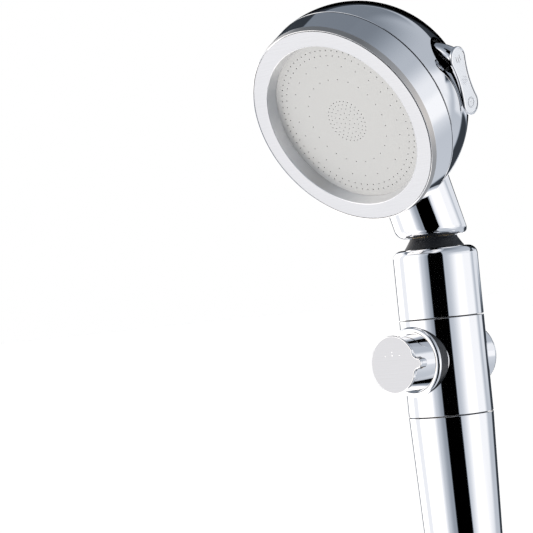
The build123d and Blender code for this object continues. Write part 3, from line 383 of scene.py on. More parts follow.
def evened(piece):
    """Lets the large faces set the normals, so that a narrow bevel doesn't bend a reflection."""
    step = piece.modifiers.new("even", "WEIGHTED_NORMAL")
    step.keep_sharp = True
    return applied(piece)


def spread(start, end, steps):
    """Values at even steps from start to end, with both ends."""
    return [start + (end - start) * i / steps for i in range(steps + 1)]


def polar(turn):
    """The point of the unit circle at an angle in radians."""
    return Vector((math.cos(turn), math.sin(turn)))


def arc(centre, radius, start, end, steps):
    """Points of an arc in the profile plane, angles in degrees."""
    turns = [math.radians(angle) for angle in spread(start, end, steps)]
    return [(centre[0] + radius * math.cos(t), centre[1] + radius * math.sin(t)) for t in turns]


def rounded(bm, edges, radius, segments=3):
    """Rounds the chosen edges of a bmesh."""
    bmesh.ops.bevel(
        bm, geom=edges, offset=radius, segments=segments, profile=0.5, affect="EDGES", material=-1
    )


def soften(bm, circles, radius):
    """Rounds the edges that run round the axis at each (radius, height) of a lathed piece."""

    def on_circle(edge, r, h):
        return all(
            abs(math.hypot(v.co.x, v.co.y) - r) < SAME and abs(v.co.z - h) < SAME
            for v in edge.verts
        )

    rounded(bm, [e for e in bm.edges if any(on_circle(e, r, h) for r, h in circles)], radius)


def lathe(profile, steps=ROUND, soft=()):
    """A bmesh turned about Z from the closed profile of (radius, height) points."""
    bm = bmesh.new()
    verts = [bm.verts.new((r, 0, h)) for r, h in profile]
    rim = [bm.edges.new(pair) for pair in zip(verts, verts[1:])]
    rim.append(bm.edges.new((verts[-1], verts[0])))
    bmesh.ops.spin(
        bm,
        geom=verts + rim,
        cent=(0, 0, 0),
        axis=(0, 0, 1),
        angle=2 * math.pi,
        steps=steps,
        use_merge=True,
    )
    bmesh.ops.remove_doubles(bm, verts=bm.verts[:], dist=1e-5)
    bmesh.ops.recalc_face_normals(bm, faces=bm.faces[:])
    for circles, radius in soft:
        soften(bm, circles, radius)
    return bm


def shifted(place, x=0.0, y=0.0, z=0.0):
    """A place moved along its own axes."""
    return place @ Matrix.Translation((x, y, z))


def cylinder(place, radius, length, steps=96):
    """A plain cylinder from the place's origin along its z, in millimetres."""
    bm = bmesh.new()
    bmesh.ops.create_cone(
        bm,
        cap_ends=True,
        segments=steps,
        radius1=radius,
        radius2=radius,
        depth=length,
        matrix=shifted(place, z=length / 2),
    )
    return bm


def box(bm, place, size):
    """Adds a box of a size to a bmesh, centred on the place's origin."""
    bmesh.ops.create_cube(bm, size=1, matrix=place @ Matrix.Diagonal((*size, 1)))
    return bm


def combined(piece, tool_bm, operation):
    """Joins a bmesh in millimetres to a finished piece, or cuts it away."""
    tool_bm.transform(Matrix.Scale(MM, 4))
    tool = shown("tool", tool_bm)
    step = piece.modifiers.new("combine", "BOOLEAN")
    step.operation = operation
    step.object = tool
    step.solver = "EXACT"
    applied(piece)
    bpy.data.objects.remove(tool)


def true_normals(piece, surfaces):
    """Sets the exact normals of the named surfaces, so that mirror plating reflects cleanly."""
    mesh = piece.data
    normals = []
    for face in mesh.polygons:
        flat = face.normal.copy()
        face.use_smooth = True
        for corner in face.loop_indices:
            point = mesh.vertices[mesh.loops[corner].vertex_index].co / MM
            best = flat
            for surface in surfaces:
                normal = surface(point)
                if normal is not None and abs(normal.dot(flat)) > NEARLY_FLAT:
                    best = normal if normal.dot(flat) > 0 else -normal
                    break
            normals.append(best)
    mesh.normals_split_custom_set(normals)


def on_cylinder(origin, way, radius):
    """The normal of a cylinder at a point on it, or None."""
    way = way.normalized()

    def normal(point):
        across = point - origin
        across = across - way * across.dot(way)
        if abs(across.length - radius) > ON_SURFACE:
            return None
        return across.normalized()

    return normal


def on_sphere(centre, radius):
    """The normal of a sphere at a point on it, or None."""

    def normal(point):
        away = point - centre
        if abs(away.length - radius) > ON_SURFACE:
            return None
        return away.normalized()

    return normal


def on_torus(centre, way, ring_r, tube_r):
    """The normal of a ring-shaped fillet at a point on it, or None."""
    way = way.normalized()

    def normal(point):
        across = point - centre
        across = across - way * across.dot(way)
        if across.length < 1e-6:
            return None
        spine = centre + across.normalized() * ring_r
        away = point - spine
        if abs(away.length - tube_r) > ON_FILLET:
            return None
        return away.normalized()

    return normal


# ================================================================ handle

def lower_handle():
    """The tapering shell with the holder cone at its end."""
    cone_top_r = 12.6
    cone_end_r = 11.6
    socket_r = 9.3        # bore that takes the connector's shank
    pull = 1.4            # reach of the curve's handles between cone and taper
    knots = interpolate_bezier(
        Vector((cone_top_r, z_shoulder, 0)),
        Vector((cone_top_r + 0.06, z_shoulder + pull, 0)),
        Vector((handle_end_r - 0.04, z_taper - pull, 0)),
        Vector((handle_end_r, z_taper, 0)),
        16,
    )
    foot = z_cone + 0.1
    top = z_lower_seam - seam / 2
    bore = handle_r - wall
    profile = [(cone_end_r, foot)] + [(k.x, k.y) for k in knots]
    profile += [(handle_r, top), (bore, top), (handle_end_r - wall, z_taper)]
    profile += [(socket_r, z_taper), (socket_r, foot)]
    bm = lathe(profile, soft=[([(cone_end_r, foot)], 0.5), ([(handle_r, top)], seam_edge)])
    finished("handle_shell", bm, handle_place, "handle", chrome, ["lower_handle"])


def hose_thread():
    """The plated hose thread: a tube with a G1/2 ridge that runs out at both ends."""
    pitch = 1.814
    root_r = 9.32
    crest_r = 10.45
    foot_r = root_r - 0.1     # the ridge starts a little inside the tube
    lead_r = root_r + 0.3     # plain band at the end, where the washer seals
    bore_r = 7.6
    shank_r = 9.2
    water_r = 5
    shank_top = 22
    bore_top = 9
    turns = 5.0
    steps_per_turn = 72
    bm = lathe(
        [
            (bore_r, 0),
            (lead_r, 0),
            (lead_r, 0.45),
            (root_r, 0.75),
            (root_r, z_cone),
            (shank_r, z_cone),
            (shank_r, shank_top),
            (water_r, shank_top),
            (water_r, bore_top),
            (bore_r, bore_top),
        ],
        steps=96,
        soft=[([(bore_r, 0), (lead_r, 0)], 0.2)],
    )
    half_root = pitch * 0.42
    half_crest = pitch * 0.1
    start = 1.3
    ridge = [
        bm.verts.new((r, 0, start + height))
        for r, height in (
            (foot_r, -half_root),
            (crest_r, -half_crest),
            (crest_r, half_crest),
            (foot_r, half_root),
        )
    ]
    loop = [bm.edges.new((ridge[i], ridge[(i + 1) % 4])) for i in range(4)]
    steps = int(turns * steps_per_turn)
    bm.faces.new(ridge)
    before = set(bm.verts)
    made = bmesh.ops.spin(
        bm,
        geom=ridge + loop,
        cent=(0, 0, 0),
        axis=(0, 0, 1),
        dvec=(0, 0, pitch / steps_per_turn),
        angle=2 * math.pi * turns,
        steps=steps,
    )
    last = [item for item in made["geom_last"] if isinstance(item, bmesh.types.BMVert)]
    bmesh.ops.contextual_create(bm, geom=last)
    # the ridge sinks into the root over a quarter turn at each end
    fade = steps_per_turn // 4
    ordered = ridge + [v for v in bm.verts if v not in before]
    for index, vert in enumerate(ordered):
        step = index // 4
        share = min(1.0, step / fade, (steps - step) / fade)
        reach = math.hypot(vert.co.x, vert.co.y)
        wanted = foot_r + (reach - root_r + 0.1) * math.sin(share * math.pi / 2)
        vert.co.x *= wanted / reach
        vert.co.y *= wanted / reach
    bmesh.ops.recalc_face_normals(bm, faces=bm.faces[:])
    finished("hose_thread", bm, handle_place, "handle", chrome, ["inlet_connector"], flat_angle=40)


def valve_sleeve():
    """The middle shell, pierced for the knob in front and for the button behind."""
    low = z_lower_seam + seam / 2
    high = z_upper_seam - seam / 2
    bore = handle_r - wall
    profile = [(bore, low), (handle_r, low), (handle_r, high), (bore, high)]
    bm = lathe(profile, soft=[([(handle_r, low), (handle_r, high)], seam_edge)])
    made = finished("valve_sleeve_shell", bm, handle_place, "handle", chrome, ["valve_sleeve"])
    combined(made, cylinder(knob_place, knob_hole_r, through), "DIFFERENCE")
    combined(made, cylinder(button_place, button_r + 0.3, through), "DIFFERENCE")
    axis = Vector((0, 0, 1))
    spine_r = handle_r - seam_edge
    true_normals(
        made,
        [
            on_cylinder(Vector(), axis, handle_r),
            on_cylinder(Vector(), axis, bore),
            on_torus(Vector((0, 0, low + seam_edge)), axis, spine_r, seam_edge),
            on_torus(Vector((0, 0, high - seam_edge)), axis, spine_r, seam_edge),
        ],
    )


def knob_base_ring():
    """The rimmed ring that the knob sits in, scribed to the sleeve behind. The ring is chrome; its
    sloping flank is black rubber as a painted dark reflection.
    """
    rim = 1.4
    outer_r = 13.1
    foot_r = 11.1
    front = 19.6
    back = 9.0
    profile = [(knob_hole_r, back), (knob_hole_r, front - 1.3), (knob_hole_r + 0.45, front - 0.95)]
    profile += [(outer_r - rim - 0.3, front - 0.1)]
    profile += arc((outer_r - rim, front - rim), rim, 90, 0, 8)
    profile += [(foot_r, handle_r - 4.0), (foot_r, back)]
    bm = lathe(profile, steps=ROUND_KNOB)
    # painted dark reflection: the faces of the chrome ring's sloping flank are given black rubber
    for face in bm.faces:
        middle = face.calc_center_median()
        painted_dark_flank = foot_r + 0.1 < middle.xy.length < outer_r - 0.2 and 12.0 < middle.z < front - 1.6
        face.material_index = 1 if painted_dark_flank else 0
    made = finished(
        "knob_ring", bm, knob_place, "handle", [chrome, black_rubber_and_painted_dark], ["knob_base_ring"]
    )
    sleeve = cylinder(shifted(handle_place, z=80), handle_r + 0.03, 80, ROUND_HEAD)
    combined(made, sleeve, "DIFFERENCE")
    kept_out_of_mirrors(made)


def upper_collar():
    """The shell above the valve, with its rounded shoulder."""
    low = z_upper_seam + seam / 2
    shoulder = 3.4
    bore = handle_r - wall
    ceiling = z_collar_top - 3
    profile = [(bore, low), (handle_r, low)]
    profile += arc((handle_r - shoulder, z_collar_top - shoulder), shoulder, 0, 90, 16)
    profile += [(spigot_r, z_collar_top), (spigot_r, ceiling), (bore, ceiling)]
    bm = lathe(profile, soft=[([(handle_r, low)], seam_edge)])
    finished("collar_shell", bm, handle_place, "handle", chrome, ["upper_collar"])


def swivel_cone():
    """The black cone that closes the gap between collar and neck, with a lip inside the neck. Its
    black is painted shade in the gap and a painted dark reflection on a chrome cone.
    """
    foot_r = 11.1
    top_r = 8.9
    lip_top = z_neck + 1.2
    steps_up = (
        (spigot_r, 0),
        (foot_r, 0),
        (foot_r, 0.36),
        (10.65, 0.9),
        (top_r, 3.66),
        (top_r, 4.1),
        (8.1, 4.12),
    )
    profile = [(r, z_collar_top + height) for r, height in steps_up]
    profile += [(8.1, lip_top), (7.9, lip_top)]
    # painted shade and painted dark reflection: the whole cone is black rubber
    bm = lathe(profile, steps=128, soft=[([(foot_r, z_collar_top + 0.36)], 0.12)])
    finished("swivel_cone_painted_dark", bm, handle_place, "handle", black_rubber_and_painted_dark, ["swivel_cone"])


# ================================================================ valve knob and button

def swung(centre, start, end, steps):
    """Points of the arc about a centre that turns from one arm to the other."""
    whole = math.atan2(start.x * end.y - start.y * end.x, start.dot(end))
    points = []
    for turn in spread(0, whole, steps):
        cos, sin = math.cos(turn), math.sin(turn)
        points.append(
            centre + Vector((start.x * cos - start.y * sin, start.x * sin + start.y * cos))
        )
    return points


def blended(points, index, radius, steps=5):
    """Replaces one corner of a closed outline by an arc that touches both sides."""
    here = points[index]
    before = (points[index - 1] - here).normalized()
    after = (points[(index + 1) % len(points)] - here).normalized()
    half = math.acos(max(-1.0, min(1.0, before.dot(after)))) / 2
    middle = here + (before + after).normalized() * (radius / math.sin(half))
    start = here + before * (radius / math.tan(half)) - middle
    end = here + after * (radius / math.tan(half)) - middle
    return points[:index] + swung(middle, start, end, steps) + points[index + 1:]


def knob_outline(disc_r, reach):
    """The points of the knob seen from the front: a disc with a hollow-flanked pointer."""
    tip_r = 1.9
    cove = 1.0            # how far the flank bows in
    blend_r = 0.7
    root = math.radians(28)
    tip = Vector((reach - tip_r, 0))
    flank = tip + Vector((math.sin(root), math.cos(root))) * tip_r
    corner = polar(root) * disc_r
    chord = flank - corner
    cove_r = (chord.length ** 2 / 4 + cove ** 2) / (2 * cove)
    aside = Vector((-chord.y, chord.x)).normalized()
    centre = corner + chord / 2 + aside * (cove_r - cove)
    hollow = swung(centre, corner - centre, flank - centre, 7)
    bend = math.pi / 2 - root
    nose = [tip + polar(turn) * tip_r for turn in spread(bend, -bend, 16)]
    lower = [Vector((p.x, -p.y)) for p in reversed(hollow)]
    disc = [polar(turn) * disc_r for turn in spread(-root, root - 2 * math.pi, 120)[1:-1]]
    outline = hollow[:-1] + nose + lower[1:] + disc
    last_cove = len(hollow) - 1 + len(nose) + len(lower) - 2
    for index in (last_cove, 0):
        outline = blended(outline, index, blend_r)
    return outline


def thickened(bm, faces, thickness):
    """Sweeps flat faces up along z into a closed solid."""
    swept = bmesh.ops.extrude_face_region(bm, geom=faces)
    moved = [item for item in swept["geom"] if isinstance(item, bmesh.types.BMVert)]
    bmesh.ops.translate(bm, verts=moved, vec=(0, 0, thickness))
    bmesh.ops.recalc_face_normals(bm, faces=bm.faces[:])
    return bm


def prism(outline, low, high):
    """A bmesh of an outline swept from one height to another."""
    bm = bmesh.new()
    base = bm.faces.new([bm.verts.new((p.x, p.y, low)) for p in outline])
    return thickened(bm, [base], high - low)


def round_rim(bm, height, radius, segments=3):
    """Rounds the edges round the flat face at a height."""
    chosen = [
        edge
        for edge in bm.edges
        if all(abs(v.co.z - height) < SAME for v in edge.verts)
        and any(abs(f.normal.z) < 0.5 for f in edge.link_faces)
    ]
    rounded(bm, chosen, radius, segments)


def flow_knob():
    """The knob's body under its face plate: a barrel with the pointer standing out in front."""
    barrel_r = 10.2
    inside_r = 8.6
    hub_r = 5.6
    stem_r = 3.3
    recess_r = 2.7
    screw_r = 1.5
    back = 17.0
    front = knob_face_back
    hub_floor = 25.5
    recess = front - 1.3
    profile = [(recess_r, front), (recess_r, recess), (screw_r, recess), (screw_r, hub_floor)]
    profile += [(stem_r, hub_floor), (stem_r, back), (hub_r, back), (hub_r, hub_floor)]
    profile += [(inside_r, hub_floor), (inside_r, back), (barrel_r, back), (barrel_r, front)]
    barrel = lathe(profile, steps=ROUND_KNOB, soft=[([(barrel_r, back)], 0.3)])
    made = finished("knob_barrel", barrel, knob_place, "knob", chrome, ["flow_knob"])
    pointer_back = 25.6
    root_x = 5.0          # the pointer is let into the barrel as far as this
    nose = [point for point in knob_outline(10.15, 12.7) if point.x > root_x]
    pointer = prism(nose, pointer_back, front - 0.02)
    round_rim(pointer, pointer_back, 0.4, 4)
    nose_piece = finished("knob_pointer", pointer, knob_place, "knob", chrome)
    kept_out_of_mirrors(nose_piece)
    kept_out_of_mirrors(made)


def knob_face():
    """The satin face plate with a bright bevelled rim."""
    bm = prism(knob_outline(10.6, 13.3), knob_face_back, knob_face_front)
    round_rim(bm, knob_face_front, 0.35)
    round_rim(bm, knob_face_back, 0.25)
    for face in bm.faces:
        face.material_index = 0 if face.normal.z > 0.99 else 1
    made = finished("knob_face_plate", bm, knob_place, "knob", [knob_satin, chrome], ["knob_face"])
    kept_out_of_mirrors(made)


def knob_marks():
    """Four dots and a small ring that show which way the flow opens."""
    height = knob_face_front + 0.005
    bm = bmesh.new()

    def disc(x, y, radius, segments):
        spot = Matrix.Translation((x, y, height))
        made = bmesh.ops.create_circle(
            bm, cap_ends=True, radius=radius, segments=segments, matrix=spot
        )
        return made["verts"][0].link_faces[0]

    for x, y, radius in ((0, 4.6, 0.22), (0, 3.4, 0.28), (3.4, 3.3, 0.2), (-3.4, 3.3, 0.2)):
        disc(x, y, radius, 16)
    ring = disc(0, 6.6, 0.85, 32)
    bmesh.ops.inset_region(bm, faces=[ring], thickness=0.22)
    bmesh.ops.delete(bm, geom=[ring], context="FACES")
    finished("knob_marks", bm, knob_place, "knob", chrome)


def rear_button():
    """The domed push button behind the handle."""
    front = handle_r + 2.2
    edge_r = 2.2
    dome = 0.9
    shell = 1.6
    skirt = 9.45
    flat_r = button_r - edge_r
    sphere_r = (flat_r ** 2 + dome ** 2) / (2 * dome)
    crown = [
        (sphere_r * math.sin(a), front - sphere_r + sphere_r * math.cos(a))
        for a in spread(0, math.asin(flat_r / sphere_r), 12)
    ]
    under = front - dome - shell
    profile = crown + arc((flat_r, front - dome - edge_r), edge_r, 80, 0, 14)
    profile += [(button_r, skirt), (button_r - shell, skirt), (button_r - shell, under)]
    profile += [(0, under)]
    bm = lathe(profile, steps=128)
    finished("push_button", bm, button_place, "push", chrome, ["rear_button"])


# ================================================================ head

def front_ring():
    """The chrome ring in front of the seam, with its narrow chamfer round the bezel."""
    edge_r = 39.0
    chamfer = -2.3
    thread_r = 37.9
    pocket_r = 34.4       # holds the plate and its gasket
    shelf_r = 32.4
    back = -(seam_depth - seam / 2)
    profile = [
        (bezel_r + 0.25, -0.12),
        (ring_face_r, 0),
        (edge_r, chamfer),
        (ball_r, back),
        (thread_r, back),
        (thread_r, -7.3),
        (pocket_r, -7.3),
        (pocket_r, -5.4),
        (shelf_r, -5.4),
        (shelf_r, -1.5),
        (bezel_r + 0.25, -1.5),
    ]
    bm = lathe(
        profile,
        steps=ROUND_HEAD,
        soft=[
            ([(edge_r, chamfer)], 0.12),
            ([(ball_r, back)], 0.25),
            ([(ring_face_r, 0)], 0.08),
        ],
    )
    for face in bm.faces:
        middle = face.calc_center_median()
        in_chamfer = ring_face_r < middle.xy.length < edge_r - 0.05 and middle.z > chamfer
        face.material_index = 1 if in_chamfer else 0
    materials = [chrome, chamfer_satin]
    finished("front_ring_shell", bm, head_place, "head", materials, ["front_ring"], flat_angle=14)


def bezel():
    """The satin ring round the spray plate, falling away to the plate inside."""
    lip_r = 32.0
    flange = -1.45
    skirt_r = 32.35
    skirt = -4.35
    profile = [
        (lip_r, 0),
        (bezel_r, 0),
        (bezel_r, flange),
        (skirt_r, flange),
        (skirt_r, skirt),
        (31.0, skirt),
    ]
    bm = lathe(profile, steps=ROUND_HEAD, soft=[([(lip_r, 0)], 0.45), ([(bezel_r, 0)], 0.15)])
    for face in bm.faces:
        middle = face.calc_center_median()
        inner_wall = middle.xy.length < lip_r + 0.2 and abs(face.normal.z) < 0.9
        brushed = face.normal.z > 0.5 or middle.z < -1
        face.material_index = 0 if brushed and not inner_wall else 1
    materials = [bezel_satin, wall_satin]
    finished("bezel", bm, head_place, "head", materials, ["bezel_ring"], flat_angle=14)


# rings of holes through the spray plate: radius, count, first angle, hole radius
hole_rings = (
    (1.4, 5, 0, 0.16),
    (3.2, 10, 9, 0.16),
    (5.0, 16, 0, 0.17),
    (6.6, 24, 4, 0.18),
    (8.0, 30, 0, 0.2),
    (16.8, 24, 0, 0.2),
    (22.5, 24, 7.5, 0.2),
    (26.3, 60, 3, 0.22),
    (28.4, 72, 0, 0.24),
)


def spray_plate():
    """The thin plate with every nozzle hole cut through it."""
    plate_r = 34.3
    thickness = 0.8
    plate_back = -5.2
    bm = bmesh.new()
    bmesh.ops.create_circle(bm, radius=plate_r, segments=ROUND)
    for ring_r, count, first, hole_r in hole_rings:
        for i in range(count):
            a = math.radians(first) + 2 * math.pi * i / count
            spot = Matrix.Translation((ring_r * math.cos(a), ring_r * math.sin(a), 0))
            bmesh.ops.create_circle(bm, radius=hole_r, segments=10, matrix=spot)
    bmesh.ops.triangle_fill(bm, use_beauty=True, edges=bm.edges[:], normal=(0, 0, 1))
    thickened(bm, bm.faces[:], thickness)
    place = shifted(head_place, z=plate_back)
    finished("nozzle_plate", bm, place, "head", spray_steel, ["spray_plate"], flat_angle=20)


def rear_housing():
    """The ball with its neck, pierced by the keyhole pocket under the rocker."""
    foot_edge = 3.0       # rounding of the neck's foot
    inner_r = ball_r - 2.5
    front = seam_depth + seam / 2
    start = math.degrees(math.asin((front - seam_depth) / ball_r))
    outer = [(r, -seam_depth - d) for r, d in arc((0, 0), ball_r, start, 90, 48)]
    inner = [(r, -seam_depth - d) for r, d in arc((0, 0), inner_r, 90, 6, 32)]
    profile = outer + inner + [(inner_r, -front)]
    ball = lathe(profile, steps=ROUND_HEAD, soft=[([outer[0]], 0.2)])
    made = finished("ball_housing", ball, head_place, "head", chrome, ["rear_housing"])
    # the neck leans into the ball and is cut square at its foot
    reach = 34.0
    neck = cylinder(shifted(neck_place, z=-neck_r), neck_r, reach + neck_r, ROUND)
    cut = bmesh.ops.bisect_plane(
        neck,
        geom=neck.verts[:] + neck.edges[:] + neck.faces[:],
        plane_co=neck_foot,
        plane_no=(0, 0, -1),
        clear_outer=True,
    )
    rim = [item for item in cut["geom_cut"] if isinstance(item, bmesh.types.BMEdge)]
    bmesh.ops.contextual_create(neck, geom=rim)
    bmesh.ops.recalc_face_normals(neck, faces=neck.faces[:])
    foot_rim = [e for e in neck.edges if all(abs(v.co.z - z_neck) < 1e-3 for v in e.verts)]
    rounded(neck, foot_rim, foot_edge, 8)
    combined(made, neck, "UNION")
    # the pocket: a round top and a narrow slot below
    top_height, top_r = 9.6, 7.0
    slot_height, slot_r = -9.4, 3.6
    origin = face_centre + outward * -rocker_depth + Vector((26, 0, 0))
    pocket = frame_of(origin, upward, Vector((1, 0, 0)))
    top = cylinder(shifted(pocket, top_height), top_r, through)
    slot = box(bmesh.new(), shifted(pocket, 0.1, 0, through / 2), (19.0, 2 * slot_r, through))
    end = cylinder(shifted(pocket, slot_height), slot_r, through)
    # the socket that the swivel spigot turns in
    socket = cylinder(Matrix.Translation((0, 0, z_neck - 1)), spigot_r, 10.9, 96)
    for tool in (top, slot, end, socket):
        combined(made, tool, "DIFFERENCE")
    true_normals(
        made,
        [
            on_sphere(ball_centre, ball_r),
            on_sphere(ball_centre, inner_r),
            on_cylinder(neck_foot, neck_way, neck_r),
        ],
    )
    # painted shade: the inside of the shell is black, so that the pocket under the rocker looks
    # dark inside
    mesh = made.data
    mesh.materials.append(black_plastic)
    painted_shade_inside = [(v.co / MM - ball_centre).length < inner_r + 0.05 for v in mesh.vertices]
    for face in mesh.polygons:
        if all(painted_shade_inside[i] for i in face.vertices):
            face.material_index = 1


# ================================================================ mode rocker

def rocker_outline():
    """The peanut outline of the rocker's face: two lobes and a waist."""
    steps = 16
    lobe_r = 4.4
    waist = 3.3
    waist_r = (lobe ** 2 + waist ** 2 - lobe_r ** 2) / (2 * (lobe_r - waist))
    waist_centre = waist_r + waist
    meet = math.atan2(lobe, waist_centre)
    bulge = math.pi / 2 + meet
    points = []
    for side in (1, -1):
        for a in spread(-bulge, bulge, 3 * steps):
            x, y = lobe + lobe_r * math.cos(a), lobe_r * math.sin(a)
            points.append(Vector((side * x, side * y)))
        for a in spread(meet, -meet, steps)[1:-1]:
            x, y = waist_r * math.sin(a), waist_centre - waist_r * math.cos(a)
            points.append(Vector((side * x, side * y)))
    return points


def rocker_plate():
    """The satin face of the rocker, sunk a little inside its bright rim."""
    bm = prism(rocker_outline(), web_face, rocker_reach)
    round_rim(bm, rocker_reach, 0.4, 4)
    field = max(bm.faces, key=lambda face: face.calc_area() * face.normal.z)
    bmesh.ops.inset_region(bm, faces=[field], thickness=0.25)
    bmesh.ops.inset_region(bm, faces=[field], thickness=0.12, depth=-icon_relief)
    for face in bm.faces:
        face.material_index = 1
    field.material_index = 0
    finished("rocker_face", bm, rocker_place, "rocker", [rocker_satin, chrome], ["rocker_plate"])


def rocker_icons():
    """Chrome spray symbols standing in the sunk face: a jet, a star and a ring."""
    height = rocker_reach - icon_relief
    bm = bmesh.new()

    def bead(x, y, rx, ry):
        bmesh.ops.create_uvsphere(
            bm,
            u_segments=16,
            v_segments=8,
            radius=1,
            matrix=Matrix.Translation((x, y, height)) @ Matrix.Diagonal((rx, ry, icon_relief, 1)),
        )

    def beads(x, count, ring_r, bead_r, middle_r):
        """A ring of round beads about one in the middle."""
        for i in range(count):
            a = 2 * math.pi * i / count
            bead(x + ring_r * math.cos(a), ring_r * math.sin(a), bead_r, bead_r)
        bead(x, 0, middle_r, middle_r)

    for i in range(3):
        bead(8.2 + 0.5 * abs(i - 1), (i - 1) * 1.1, 1.3, 0.22)
    beads(0.2, 6, 1.25, 0.42, 0.4)
    beads(-8.6, 18, 1.7, 0.34, 0.5)
    finished("rocker_symbols", bm, rocker_place, "rocker", chrome)


def rocker_nose(back):
    """The tapering half-round nose under the upper lobe, from the face plate into the pocket."""
    steps = 14
    points = 20
    skirt_r = 15.0
    inner_x = 1.7
    bm = bmesh.new()
    rings = []
    for i in range(steps + 1):
        share = i / steps
        x = back + (inner_x - back) * share
        top = math.sqrt(skirt_r ** 2 - x ** 2) - 0.02
        half = 3.9 - 1.3 * share
        floor_y = 7.6 + (14.0 - 7.6) * share
        open_way = max(-0.2, min(1.0, (floor_y - top + half) / half))
        limit = math.acos(open_way)
        rings.append(
            [
                bm.verts.new((x, top - half + half * math.cos(a), half * math.sin(a)))
                for a in spread(-limit, limit, points)
            ]
        )
    for near, far in zip(rings, rings[1:]):
        for k in range(points):
            bm.faces.new((near[k], near[k + 1], far[k + 1], far[k]))
        bm.faces.new((near[-1], near[0], far[0], far[-1]))
    bm.faces.new(rings[0])
    bm.faces.new(list(reversed(rings[-1])))
    bmesh.ops.recalc_face_normals(bm, faces=bm.faces[:])
    return bm


def rocker_body():
    """The rocker's moulding: a web, hub and tail, and the nose that fills the pocket."""
    web = 2.9             # half the moulding's thickness
    hub_r = 3.1
    bore_r = 1.56
    tail = 14.0
    tail_width = 2.6
    tail_end_r = 2.0
    corners = ((0, -hub_r), (web_face, -lobe), (web_face, lobe), (0, hub_r))
    body = prism([Vector(corner) for corner in corners], -web, web)
    made = finished("rocker_moulding", body, rocker_side, "rocker", chrome, ["mode_rocker"])
    middle = shifted(rocker_side, z=-web)
    hub = cylinder(middle, hub_r, 2 * web, 64)
    arm = box(bmesh.new(), shifted(rocker_side, -tail / 2), (tail, tail_width, 2 * web))
    tail_end = cylinder(shifted(middle, -tail), tail_end_r, 2 * web, 48)
    nose = rocker_nose(web_face)
    nose.transform(rocker_side)
    for part in (hub, arm, tail_end, nose):
        combined(made, part, "UNION")
    combined(made, cylinder(shifted(middle, z=-1), bore_r, 2 * web + 2, 48), "DIFFERENCE")
    evened(made)


def filter_mesh():
    """The inlet's filter: a frame ring with a woven mesh across it."""
    ring_r = 7.5
    bore_r = 6.15
    low, high = 3.6, 5.6
    wire_width, wire_height = 0.16, 0.12
    pitch = 0.55
    bm = lathe([(bore_r, low), (ring_r, low), (ring_r, high), (bore_r, high)], steps=72)
    count = int(bore_r / pitch)
    for i in range(-count, count + 1):
        reach = math.sqrt((bore_r + 0.05) ** 2 - (i * pitch) ** 2)
        for turn in (0, math.pi / 2):
            height = 4.6 + (wire_height / 2 if turn else -wire_height / 2)
            wire = shifted(Matrix.Rotation(turn, 4, "Z"), 0, i * pitch, height)
            box(bm, wire, (2 * reach, wire_width, wire_height))
    finished("inlet_filter", bm, handle_place, "handle", white_plastic, ["filter_screen"])


# ================================================================ studio

# the studio's panels, in degrees: tone, left, right, side blur, low, high, top and bottom blur
# pale panels behind the object
BEHIND = (
    (0.8, 166, 206, 8, -1, 10, 3),
    (0.9, 128, 148, 12, 8, 18, 8),
    (0.98, 124, 142, 16, -6, 2, 6),
)
# long soft box on the left, with a grey strip in it
LEFT_BOX = (
    (1.3, 214, 284, 6, -90, 22, 30),
    (1.3, 306, 342, 24, -90, 22, 30),
    (0.92, 286, 300, 6, -90, 22, 30),
)
# the doorway's dark foot, and a thin grey line beside it
DOORWAY_FOOT = (
    (0.05, 182, 207, 5, -18, -1, 2),
    (0.2, 222, 241, 4, -12, 2, 3),
)
# a lit panel in the black above, and the black beside it
DOORWAY_TOP = (
    (0.7, 176, 186, 3, 12, 20, 4),
    (0.0, 202, 226, 8, 2, 33, 5),
)


